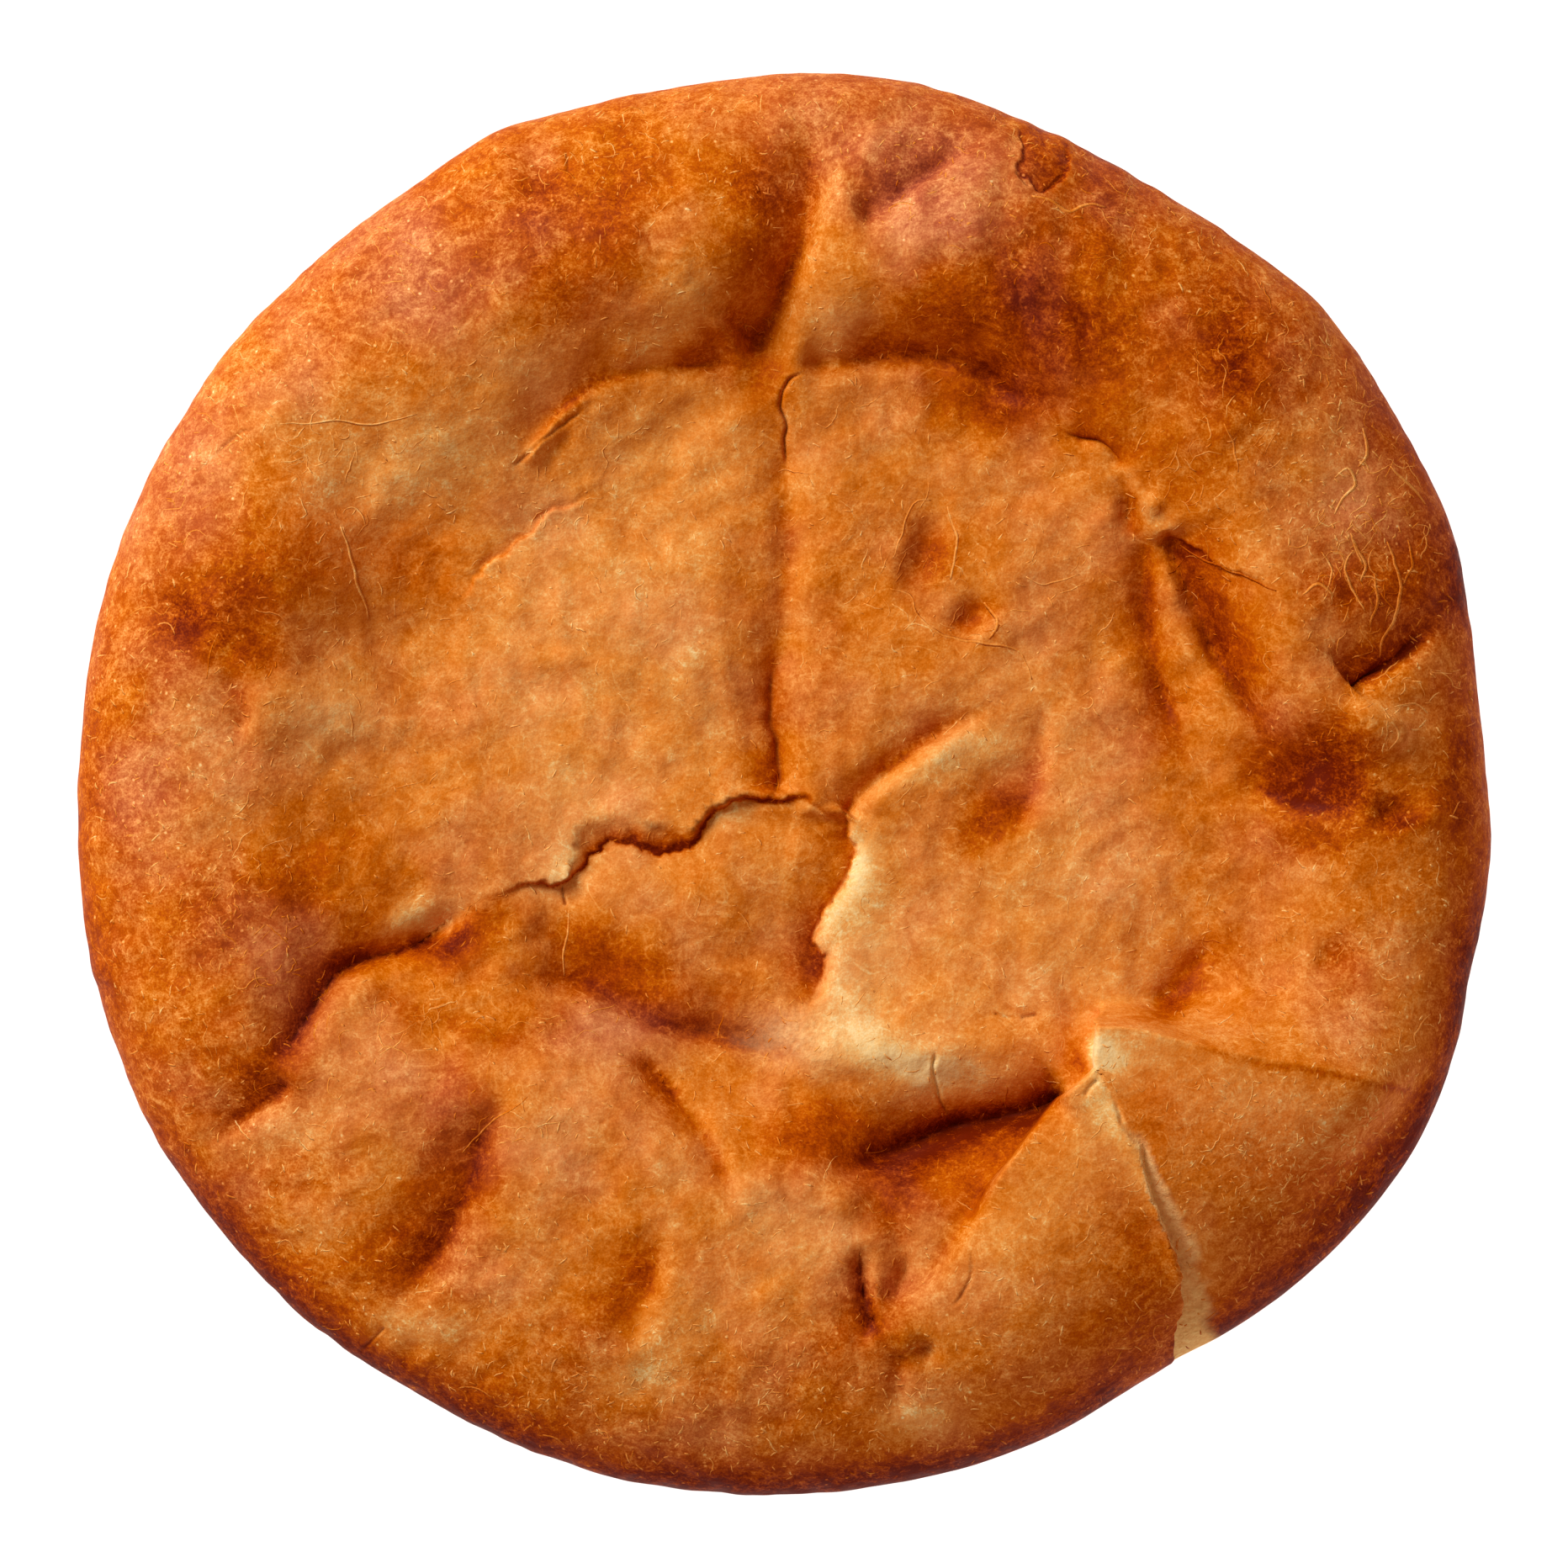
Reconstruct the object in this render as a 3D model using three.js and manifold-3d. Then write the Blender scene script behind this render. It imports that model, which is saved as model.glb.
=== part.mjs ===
// A round puffed lavash. It is one loaf: a flat base, a full rounded rim, and a thin top crust that has
// sunk in the middle and lies in folds. At the near right the crust is pinched up into a peak, and a split
// runs from the peak down over the rim.
// Millimetres, +Z up. The origin is the middle of the flat base, +Y its far edge and +X its right.
import * as THREE from "three";
import Module from "manifold-3d";

// Driving dimensions
const RADIUS = 105; // mean radius of the loaf, seen from above
const RIM_HEIGHT = 33; // top of the full rim above the table
const BULGE_HEIGHT = 13; // height at which the loaf is widest
const SHOULDER = 0.66; // share of the radius where the rim starts to round over
const FOOT = 0.9; // share of the radius where the flat base ends
const ROUNDNESS = 2.25; // 2 is an elliptic rim, more is squarer
const HOLLOW_RADIUS = 68; // mean radius of the sunken middle
const HOLLOW_DEPTH = 11; // how far the middle lies below the rim
const HOLLOW_SLOPE = 9; // half the least width of the slope round the sunken middle
const RIPPLE = 0.5; // height of the crust's broad unevenness
const WAVES = { short: 8, long: 13 }; // lengths of its waves, over a full turn of angle
const WALL_SHARE = 0.3; // share of a fold's depth that is left where the loaf is widest

// The mesh: rings of 6, 12, 18 ... points keep the triangles even from the middle out to the widest line.
const RINGS = 38;
const FOOT_RINGS = 4;
const PATH_STEP = 1.5;
const STEP_SOFTNESS = 1.6;
const LINE_SOFTNESS = 0.3; // rounding at a fold's line, as a share of its narrower width

// Departures of the outline and of the sunken middle from a circle: direction, spread, and how far out.
const OUTLINE_BULGES = [
  { degrees: 22, spread: 10, out: 1.2 },
  { degrees: 40, spread: 9, out: 1.4 },
  { degrees: 60, spread: 9, out: -0.9 },
  { degrees: 77, spread: 10, out: 0.9 },
  { degrees: 113, spread: 5, out: 0.7 },
  { degrees: 132, spread: 20, out: -0.9 },
  { degrees: 214, spread: 26, out: 1.8 },
  { degrees: 260, spread: 12, out: 1.1 },
  { degrees: 302, spread: 8, out: -1.6 },
  { degrees: 329, spread: 14.5, out: 3.2 },
  { degrees: 5, spread: 8, out: -1.2 },
  { degrees: 351, spread: 6, out: 0.5 },
  { degrees: 176, spread: 12, out: -0.7 },
  { degrees: 70, spread: 8, out: -0.6 },
];
const HOLLOW_BULGES = [
  { degrees: 130, spread: 12, out: 2 },
  { degrees: 144, spread: 7, out: 9 },
  { degrees: 180, spread: 22, out: 10 },
  { degrees: 240, spread: 30, out: -20 },
  { degrees: 275, spread: 18, out: -10 },
  { degrees: 321, spread: 7, out: -8 },
  { degrees: 342, spread: 16, out: 20 },
];
// Where the slope round the sunken middle is gentler than elsewhere.
const SLOPE_BULGES = [
  { degrees: 124, spread: 18, out: 18 },
  { degrees: 148, spread: 8, out: 8 },
  { degrees: 172, spread: 9, out: 12 },
  { degrees: 198, spread: 24, out: 20 },
  { degrees: 345, spread: 18, out: 10 },
  { degrees: 30, spread: 16, out: 5 },
  { degrees: 86, spread: 6, out: 12 },
];

// The pinched-up corner: two panels that stand on the crust where it has not sunk, and meet in a peak with the
// split between them. The right one falls along the far edge and bows down away from it, the left one falls
// from the peak and from the split. The corner drops sharply outside its left edge, and behind its far edge
// by a slope that widens away from the peak.
const FLAP = {
  peak: [47, -36.5],
  peakRise: 4.8,
  heading: [0.985, -0.173], // direction of the far edge
  rightFall: 0.03,
  rightBow: 0.0028,
  leftFall: 0.04,
  splitFall: 0.06,
  levelReach: 13, // how near the far edge the crust runs on level where the loaf rounds over
  fadeRadius: [90, 104],
  leftWidth: 2.4,
  farSlope: [4, 10],
  farSlopeRun: 30,
  leftEdge: [[47, -35.5], [46.3, -42], [40.4, -47.3], [34.5, -54.4], [28, -63.5], [17, -77], [0, -98]],
  farEdge: [[46, -35.8], [53, -36], [58.5, -37.5], [68.8, -39.5], [77.9, -40.5], [94.3, -44.1], [110, -47]],
};

// Folds, tears and ridges, each along a path on the crust: depth is the fall at the line (a ridge is
// negative), width how far it spreads to the left and right, lift how much the crust left of the path lies
// above that on its right, reach how far that step carries, and fade the share of the path over which each
// end dies out.
const FOLDS = [
  // far side
  {
    name: "far valley",
    path: [[3.3, 100.3], [3.9, 86.5], [0.3, 74.6], [-3.6, 65], [-6.4, 62.8]],
    depth: 6, width: [2.6, 6], fade: [0.3, 0.1],
  },
  {
    name: "far ridge",
    path: [[6.8, 92.8], [4.3, 76.5], [2.4, 69]],
    depth: -1.4, width: [2.4, 2.4], fade: [0.3, 0.3],
  },
  {
    name: "far right pucker",
    path: [[9.9, 83.8], [19.9, 89.6], [31, 95.9]],
    depth: 3.2, width: [3, 2.2], fade: [0.1, 0.4],
  },
  {
    name: "far right edge",
    path: [[1.1, 61.5], [18.6, 63], [26.1, 62.1], [41.1, 55.9]],
    depth: 4.5, width: [8, 2.2], fade: [0.12, 0.4],
  },
  {
    name: "far left edge",
    path: [[-6.4, 62.5], [-18.9, 61.5], [-31.4, 56.5], [-41.4, 48.4]],
    depth: 2.2, width: [2.2, 5], fade: [0.1, 0.3],
  },
  {
    name: "far left ridge",
    path: [[-21.4, 60], [-33.3, 53.4], [-38.6, 45.9]],
    depth: -0.9, width: [2.2, 2.2], fade: [0.3, 0.2],
  },
  {
    name: "left plateau edge",
    path: [[-30.1, 41.8], [-38.3, 36.5], [-45.1, 30.9], [-47.4, 26.5]],
    depth: 0.6, width: [2.2, 2.2], lift: 0.9, reach: 8, fade: [0.3, 0.3],
  },
  // middle
  {
    name: "middle valley",
    path: [[-1, 57], [0.5, 39], [-0.9, 19], [-1.7, 12], [-0.9, -1.5]],
    depth: 2.6, width: [2.2, 3.4], fade: [0.2, 0.02],
  },
  {
    name: "middle crack",
    path: [[-1.4, 17], [-1.75, 9.3], [-0.5, 2.3], [-1.6, -3.4]],
    depth: 1.2, width: [2.2, 2.2], fade: [0.4, 0.02],
  },
  {
    name: "tear lip",
    path: [[-43.3, -16.8], [-32.4, -14.9], [-25.9, -8.8], [-14.6, -10], [-8.1, -3.1], [-1.8, -2.9], [9, -4.4]],
    depth: 0.8, width: [2.2, 2.2], lift: 2.4, reach: 11, fade: [0.2, 0.25],
  },
  {
    name: "tear fold",
    path: [[9, -4.4], [16, 2.5], [25.5, 8.8], [36, 12.6]],
    depth: 3.2, width: [2.4, 2.2], fade: [0.02, 0.5],
  },
  {
    name: "tear fold ridge",
    path: [[11.5, -5], [19.5, 2.6], [30, 8.2]],
    depth: -1.3, width: [2.2, 3], fade: [0.1, 0.4],
  },
  {
    name: "torn right sheet",
    path: [[9.5, -3.7], [10.8, -9.9], [6, -19], [4.5, -22.6], [6, -26.1], [3, -34]],
    depth: 0.4, width: [2.2, 2.2], lift: 2.4, reach: 9, fade: [0.06, 0.25],
  },
  {
    name: "dimple edge",
    path: [[38.9, 12.1], [37.9, 2.4], [33, -6.6]],
    depth: 2, width: [2.2, 5], fade: [0.3, 0.25],
  },
  {
    name: "near fold",
    path: [[-41.7, -27.5], [-27.9, -29.9], [-15.9, -36.5], [-5.1, -37.8], [3.4, -41.8]],
    depth: 3.4, width: [5, 2.2], fade: [0.25, 0.2],
  },
  {
    name: "pale ridge",
    path: [[-4, -41], [21, -39.5], [44, -36.5]],
    depth: -2.6, width: [5, 5], fade: [0.25, 0.1],
  },
  {
    name: "near valley",
    path: [[4, -57], [16.1, -54.4], [24.9, -50.6], [33.6, -49], [42, -46]],
    depth: 6, width: [3.4, 2.2], fade: [0.35, 0.04],
  },
  // left
  {
    name: "left deep fold",
    path: [[-44.1, -17], [-55.5, -24.5], [-66.3, -27.8], [-72.3, -37.1], [-76.5, -41.9]],
    depth: 5.5, width: [2.2, 4.5], fade: [0.25, 0.15],
  },
  {
    name: "left rim crease",
    path: [[-84.5, 16.5], [-79.9, 11.3], [-82.3, 5]],
    depth: 1.6, width: [2.2, 2.2], fade: [0.2, 0.3],
  },
  {
    name: "near left crease",
    path: [[-71.6, -42.5], [-78.3, -48.5], [-84.9, -53.3]],
    depth: 2.6, width: [2.2, 3.2], fade: [0.2, 0.35],
  },
  {
    name: "near left valley",
    path: [[-39, -44], [-45.5, -56], [-50.5, -68], [-59, -78]],
    depth: 3.4, width: [2.2, 6.5], fade: [0.3, 0.3],
  },
  // near side
  {
    name: "near mid valley",
    path: [[-17.6, -63.5], [-19.9, -74.8], [-23.3, -86]],
    depth: 1.8, width: [2.2, 5], fade: [0.3, 0.4],
  },
  {
    name: "near crease",
    path: [[-22.5, -38.9], [-14.1, -47.9], [-8.6, -56.3], [-7.1, -63]],
    depth: 1.8, width: [2.2, 2.4], fade: [0.2, 0.25],
  },
  {
    name: "curl crease",
    path: [[10.5, -58.3], [16.4, -64.8], [18, -71.3], [15.6, -77.8]],
    depth: 2.6, width: [2.2, 3.2], fade: [0.25, 0.1],
  },
  {
    name: "curl fold",
    path: [[11.5, -67], [11.8, -75], [13.6, -81]],
    depth: 3, width: [2.2, 2.2], fade: [0.3, 0.1],
  },
  {
    name: "curl tail",
    path: [[17.6, -83], [17, -89], [17.6, -93.4]],
    depth: 1.3, width: [2.2, 2.2], fade: [0.1, 0.4],
  },
  {
    name: "flap crease",
    path: [[31.5, -57.5], [24.1, -68], [17, -76.5]],
    depth: 1.6, width: [2.2, 2.4], fade: [0.2, 0.15],
  },
  // right
  {
    name: "right tuck",
    path: [[41.2, 51.2], [46.6, 50.4], [50, 46]],
    depth: 1.5, width: [2.4, 2.2], fade: [0.25, 0.15],
  },
  {
    name: "right ridge",
    path: [[50.5, 44.8], [53, 41.9], [55.4, 39.8]],
    depth: -1.3, width: [2.2, 2.2], fade: [0.2, 0.2],
  },
  {
    name: "right fold",
    path: [[55.8, 37.4], [59.4, 28.5], [64.4, 18], [68, 12.5]],
    depth: 3.4, width: [4.5, 2.2], fade: [0.06, 0.3],
  },
  {
    name: "right groove",
    path: [[52.9, 38], [53.4, 27], [56, 13], [59.5, 0.3]],
    depth: 2.8, width: [2.2, 2.4], fade: [0.12, 0.4],
  },
  {
    name: "right dent fold",
    path: [[66.3, -1.8], [77.6, -2.9], [85.9, -3.4]],
    depth: 2, width: [4, 2.2], fade: [0.25, 0.2],
  },
  {
    name: "right knob ridge",
    path: [[81.4, 11.3], [88.6, 9], [90.2, 7.4], [88.6, 2.9]],
    depth: -1.7, width: [2.2, 2.2], fade: [0.2, 0.3],
  },
  {
    name: "right crease",
    path: [[83.3, 13.8], [89.5, 17.9], [97.8, 24]],
    depth: 4, width: [4.5, 2.2], fade: [0.06, 0.35],
  },
  {
    name: "peak crease",
    path: [[66, -22], [59.9, -27.5], [54, -35]],
    depth: 2, width: [2.6, 2.2], fade: [0.4, 0.2],
  },
];

// Round dents (negative height) and swellings: middle, half length and half width, turn of the long axis.
const SWELLS = [
  { name: "left dent", at: [-66, 30], size: [16, 9], turn: 15, height: -1.6 },
  { name: "left blister", at: [-90, 25], size: [5, 4.5], turn: 0, height: -1.4 },
  { name: "left knob", at: [-77.6, 10.3], size: [4, 5], turn: 0, height: 1.3 },
  { name: "left shelf", at: [-69, 11], size: [10, 6], turn: 0, height: 1.5 },
  { name: "left near lobe", at: [-80, -25], size: [13, 15], turn: 0, height: 2.6 },
  { name: "ridge over left fold", at: [-53, -18.5], size: [5, 3], turn: 20, height: 1.3 },
  { name: "near fold shoulder", at: [-33, -34], size: [16, 4.5], turn: -14, height: 1.6 },
  { name: "middle tongue", at: [-11, -14.5], size: [13, 8], turn: -10, height: 1.8 },
  { name: "right dimple", at: [31, -0.5], size: [7, 5], turn: 50, height: -1.6 },
  { name: "small dimple", at: [27.4, 24.6], size: [3.2, 2.4], turn: 35, height: -2.4 },
  { name: "oval dimple", at: [20.8, 34.5], size: [6, 3.2], turn: 75, height: -2 },
  { name: "right dent", at: [78.5, 3], size: [8.5, 5.5], turn: -10, height: -4 },
  { name: "right knob", at: [86, 8], size: [4.6, 3.2], turn: -30, height: 2.8 },
  { name: "torn pit", at: [90.5, -4.5], size: [3, 2.4], turn: -15, height: -2.6 },
  { name: "rim pit", at: [83.6, -26], size: [2.6, 3], turn: 0, height: -1.8 },
  { name: "right pinch pit", at: [50.8, 40.3], size: [3.5, 2.4], turn: 98, height: -2.4 },
  { name: "curl roll", at: [16, -81], size: [3.8, 2.4], turn: -8, height: 1.6 },
  { name: "curl pit", at: [20.9, -83], size: [2.4, 2.4], turn: 0, height: -2 },
  { name: "far left dent", at: [-35, 89], size: [4.5, 3.5], turn: 60, height: -1.2 },
  { name: "far left lobe", at: [-42, 72], size: [24, 12], turn: 35, height: 2 },
  { name: "far middle lobe", at: [-13, 82], size: [10, 14], turn: 0, height: 1.5 },
  { name: "far right lobe", at: [27, 80], size: [18, 11], turn: -12, height: 2.4 },
  { name: "far ridge foot", at: [7, 69], size: [5, 8], turn: -20, height: 1.5 },
  { name: "right far lobe", at: [70, 52], size: [16, 12], turn: -45, height: 1.5 },
  { name: "left gap", at: [-64, 50], size: [9, 7], turn: -40, height: -1.8 },
  { name: "flap face", at: [36, -76], size: [16, 12], turn: 50, height: 1.5 },
];

// The split from the peak down over the rim: a wedge whose left wall is steep and whose right leans back.
const SPLIT = {
  path: [[47.3, -38], [49.1, -47.9], [52.3, -54], [55.6, -64.8], [57.9, -73.3], [58, -84], [59.5, -104]],
  floorHeight: [36.5, 7], // of the bottom line at the peak and outside the rim
  floorBend: 2, // how much later than evenly the bottom line falls
  topHeight: 50,
  step: 5,
  leftSlope: [0.1, 0.12], // how far each wall goes sideways for its height, at the peak and outside the rim
  rightSlope: [0.2, 0.9],
};

const { degToRad, smoothstep, lerp, clamp } = THREE.MathUtils;

// A radius that leaves a circle by soft bulges, each round its own direction.
function bulgingRadius(radius, bulges, angle) {
  return bulges.reduce((sum, bulge) => {
    const turned = angle - degToRad(bulge.degrees);
    const away = Math.atan2(Math.sin(turned), Math.cos(turned));
    return sum + bulge.out * Math.exp(-((away / degToRad(bulge.spread)) ** 2));
  }, radius);
}

// A smooth path through a few points, cut into short straight runs.
function tracePath(points, step = PATH_STEP) {
  const curve = new THREE.SplineCurve(points.map(([x, y]) => new THREE.Vector2(x, y)));
  return curve.getSpacedPoints(Math.ceil(curve.getLength() / step));
}

// Where a point lies by a traced path: its distance, its side (1 left, -1 right) and how far along, 0 to 1.
function besidePath(trace, x, y) {
  const nearest = { distance: Infinity, side: 1, along: 0 };
  for (let i = 0; i + 1 < trace.length; i++) {
    const a = trace[i];
    const runX = trace[i + 1].x - a.x;
    const runY = trace[i + 1].y - a.y;
    const share = ((x - a.x) * runX + (y - a.y) * runY) / (runX * runX + runY * runY);
    const held = clamp(share, 0, 1);
    const distance = Math.hypot(x - a.x - held * runX, y - a.y - held * runY);
    if (distance < nearest.distance) {
      nearest.distance = distance;
      nearest.side = runX * (y - a.y) - runY * (x - a.x) >= 0 ? 1 : -1;
      nearest.along = (i + held) / (trace.length - 1);
    }
  }
  return nearest;
}

const folds = FOLDS.map((fold) => ({ lift: 0, reach: 1, ...fold, trace: tracePath(fold.path) }));
const flapLeft = tracePath(FLAP.leftEdge);
const flapFar = tracePath(FLAP.farEdge);
const splitLine = tracePath(SPLIT.path);

// A fold is a rounded V along its path, with a step from one side to the other that dies away.
function foldHeight(fold, x, y) {
  const { distance, side, along } = besidePath(fold.trace, x, y);
  const strength = smoothstep(along, 0, fold.fade[0]) * smoothstep(1 - along, 0, fold.fade[1]);
  const width = side > 0 ? fold.width[0] : fold.width[1];
  const soft = LINE_SOFTNESS * Math.min(...fold.width);
  const valley = fold.depth * Math.exp(-(Math.hypot(distance, soft) - soft) / width);
  const step = (side * fold.lift * Math.tanh(distance / STEP_SOFTNESS)) / 2;
  return strength * (step * Math.exp(-distance / fold.reach) - valley);
}

function swellHeight({ at, size, turn, height }, x, y) {
  const c = Math.cos(degToRad(turn));
  const s = Math.sin(degToRad(turn));
  const along = ((x - at[0]) * c + (y - at[1]) * s) / size[0];
  const across = ((y - at[1]) * c - (x - at[0]) * s) / size[1];
  return height * Math.exp(-(along * along + across * across));
}

// What the corner adds to a crust that has sunk by the given depth there.
function flapHeight(x, y, sunk) {
  const left = besidePath(flapLeft, x, y);
  const far = besidePath(flapFar, x, y);
  const split = besidePath(splitLine, x, y);
  const runX = x - FLAP.peak[0];
  const runY = y - FLAP.peak[1];
  const fromPeak = Math.hypot(runX, runY);
  const fromMiddle = Math.hypot(x, y);
  const along = Math.max(0, runX * FLAP.heading[0] + runY * FLAP.heading[1]);
  const inward = Math.max(0, runX * FLAP.heading[1] - runY * FLAP.heading[0]);
  const past = clamp((fromMiddle / RADIUS - SHOULDER) / (1 - SHOULDER), 0, 1) ** ROUNDNESS;
  const drop = (RIM_HEIGHT - BULGE_HEIGHT) * (1 - (1 - past) ** (1 / ROUNDNESS));
  const level = drop * Math.exp(-((far.distance / FLAP.levelReach) ** 2));
  const rightPanel = level - FLAP.rightFall * along - FLAP.rightBow * inward ** 2;
  const leftPanel = -FLAP.leftFall * fromPeak - FLAP.splitFall * split.distance;
  const panel = FLAP.peakRise + (split.side > 0 ? rightPanel : leftPanel);
  const rise = Math.max(0, panel) * (1 - smoothstep(fromMiddle, ...FLAP.fadeRadius));
  const slope = lerp(...FLAP.farSlope, smoothstep(fromPeak, 0, FLAP.farSlopeRun));
  const behind = clamp(1 - (far.side * far.distance) / slope, 0, 1) ** 1.2;
  return (sunk + rise) * behind * smoothstep(left.side * left.distance, -FLAP.leftWidth, FLAP.leftWidth);
}

// Broad waves that keep the crust from being even anywhere.
function rippleHeight(x, y) {
  const short = Math.sin(x / WAVES.short + 1) * Math.cos(y / WAVES.short);
  const long = Math.sin((x + 1.6 * y) / WAVES.long);
  return RIPPLE * (short + long);
}

// How far the crust lies above the plain loaf, measured square to it.
function crustRelief(x, y) {
  const hollowEdge = bulgingRadius(HOLLOW_RADIUS, HOLLOW_BULGES, Math.atan2(y, x));
  const slope = bulgingRadius(HOLLOW_SLOPE, SLOPE_BULGES, Math.atan2(y, x));
  const sunk = HOLLOW_DEPTH * smoothstep(hollowEdge - Math.hypot(x, y), -slope, slope);
  return (
    folds.reduce((sum, fold) => sum + foldHeight(fold, x, y), 0) +
    SWELLS.reduce((sum, swell) => sum + swellHeight(swell, x, y), 0) +
    flapHeight(x, y, sunk) +
    rippleHeight(x, y) -
    sunk
  );
}

// The plain loaf's half section, from the middle of the top (0) to its widest line (1): the share of the
// radius, the height, and how far the surface leans outwards (0 level, 1 upright).
const RIM_ARC = 0.36; // share of the section that the rounded rim takes up
function topSection(share) {
  if (share <= 1 - RIM_ARC) return { out: (share / (1 - RIM_ARC)) * SHOULDER, z: RIM_HEIGHT, lean: 0 };
  const turn = ((share - 1 + RIM_ARC) / RIM_ARC) * (Math.PI / 2);
  const power = 2 / ROUNDNESS;
  return {
    out: SHOULDER + (1 - SHOULDER) * Math.sin(turn) ** power,
    z: BULGE_HEIGHT + (RIM_HEIGHT - BULGE_HEIGHT) * Math.max(0, Math.cos(turn)) ** power,
    lean: turn / (Math.PI / 2),
  };
}

// Below the widest line the loaf tucks in to its foot, where share is 1.
function footSection(share) {
  const turn = share * (Math.PI / 2);
  return { out: FOOT + (1 - FOOT) * Math.cos(turn), z: BULGE_HEIGHT * (1 - Math.sin(turn)), lean: 1 };
}

// A point of the loaf: the plain section, moved square to itself by the crust's relief.
function loafPoint({ out, z, lean }, angle, keep) {
  const plain = out * bulgingRadius(RADIUS, OUTLINE_BULGES, angle);
  const relief = keep * crustRelief(plain * Math.cos(angle), plain * Math.sin(angle));
  const radius = plain + relief * Math.sin((lean * Math.PI) / 2);
  const height = z + relief * Math.cos((lean * Math.PI) / 2);
  return [radius * Math.cos(angle), radius * Math.sin(angle), height];
}

function loafMesh() {
  const points = [loafPoint(topSection(0), 0, 1)];
  const triangles = [];
  const ringStart = (ring) => (ring === 0 ? 0 : 1 + 3 * ring * (ring - 1));

  for (let ring = 1; ring <= RINGS; ring++) {
    const section = topSection(ring / RINGS);
    const keep = lerp(1, WALL_SHARE, section.lean ** 2);
    for (let i = 0; i < 6 * ring; i++) {
      points.push(loafPoint(section, (i / (6 * ring)) * 2 * Math.PI, keep));
    }
    // Each of the six sectors has one triangle more on its outer side than on its inner side.
    const onRing = (k, sector, i) => ringStart(k) + (k === 0 ? 0 : (sector * k + i) % (6 * k));
    const inner = (sector, i) => onRing(ring - 1, sector, i);
    const outer = (sector, i) => onRing(ring, sector, i);
    for (let sector = 0; sector < 6; sector++) {
      for (let i = 0; i < ring; i++) {
        triangles.push(inner(sector, i), outer(sector, i), outer(sector, i + 1));
        if (i + 1 < ring) triangles.push(inner(sector, i), outer(sector, i + 1), inner(sector, i + 1));
      }
    }
  }

  const spokes = 6 * RINGS;
  for (let ring = 1; ring <= FOOT_RINGS; ring++) {
    const above = points.length - spokes;
    const section = footSection(ring / FOOT_RINGS);
    for (let i = 0; i < spokes; i++) {
      points.push(loafPoint(section, (i / spokes) * 2 * Math.PI, WALL_SHARE * (1 - ring / FOOT_RINGS)));
    }
    for (let i = 0; i < spokes; i++) {
      const next = (i + 1) % spokes;
      triangles.push(above + i, above + spokes + i, above + spokes + next);
      triangles.push(above + i, above + spokes + next, above + next);
    }
  }

  // The flat base, facing down.
  const foot = points.length - spokes;
  const footOutline = points.slice(foot).map(([x, y]) => new THREE.Vector2(x, y));
  for (const [a, b, c] of THREE.ShapeUtils.triangulateShape(footOutline, [])) {
    triangles.push(foot + a, foot + c, foot + b);
  }

  return { points, triangles };
}

// The wedge that opens the split: three lines along its path, bottom, left and right, closed at both ends.
function splitWedge() {
  const trace = tracePath(SPLIT.path, SPLIT.step);
  const points = trace.flatMap((at, i) => {
    const before = trace[Math.max(0, i - 1)];
    const after = trace[Math.min(trace.length - 1, i + 1)];
    const across = new THREE.Vector2(before.y - after.y, after.x - before.x).normalize();
    const along = i / (trace.length - 1);
    const floor = lerp(...SPLIT.floorHeight, along ** SPLIT.floorBend);
    const left = lerp(...SPLIT.leftSlope, along) * (SPLIT.topHeight - floor);
    const right = lerp(...SPLIT.rightSlope, along) * (SPLIT.topHeight - floor);
    return [
      [at.x, at.y, floor],
      [at.x - across.x * left, at.y - across.y * left, SPLIT.topHeight],
      [at.x + across.x * right, at.y + across.y * right, SPLIT.topHeight],
    ];
  });
  const last = points.length - 3;
  const triangles = [0, 1, 2, last, last + 2, last + 1];
  for (let start = 0; start < last; start += 3) {
    for (let line = 0; line < 3; line++) {
      const next = (line + 1) % 3;
      triangles.push(start + line, start + 3 + line, start + 3 + next);
      triangles.push(start + line, start + 3 + next, start + next);
    }
  }
  return { points, triangles };
}

function toSolid({ points, triangles }) {
  const mesh = new wasm.Mesh({
    numProp: 3,
    vertProperties: new Float32Array(points.flat()),
    triVerts: new Uint32Array(triangles),
  });
  return new wasm.Manifold(mesh);
}

const wasm = await Module();
wasm.setup();
const cut = toSolid(loafMesh()).subtract(toSolid(splitWedge())).getMesh();

const geometry = new THREE.BufferGeometry();
geometry.setAttribute("position", new THREE.Float32BufferAttribute(cut.vertProperties, cut.numProp));
geometry.setIndex([...cut.triVerts]);
geometry.computeVertexNormals();

const crust = new THREE.MeshStandardMaterial({ color: 0xd4793a, roughness: 0.65, metalness: 0 });

const loaf = new THREE.Mesh(geometry, crust);
loaf.name = "loaf";

const lavash = new THREE.Group();
lavash.name = "lavash";
lavash.add(loaf);

export default lavash;
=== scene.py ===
# Looks of the round puffed lavash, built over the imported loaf
import bpy
import math
import numpy as np
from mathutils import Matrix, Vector
from mathutils.bvhtree import BVHTree


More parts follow.
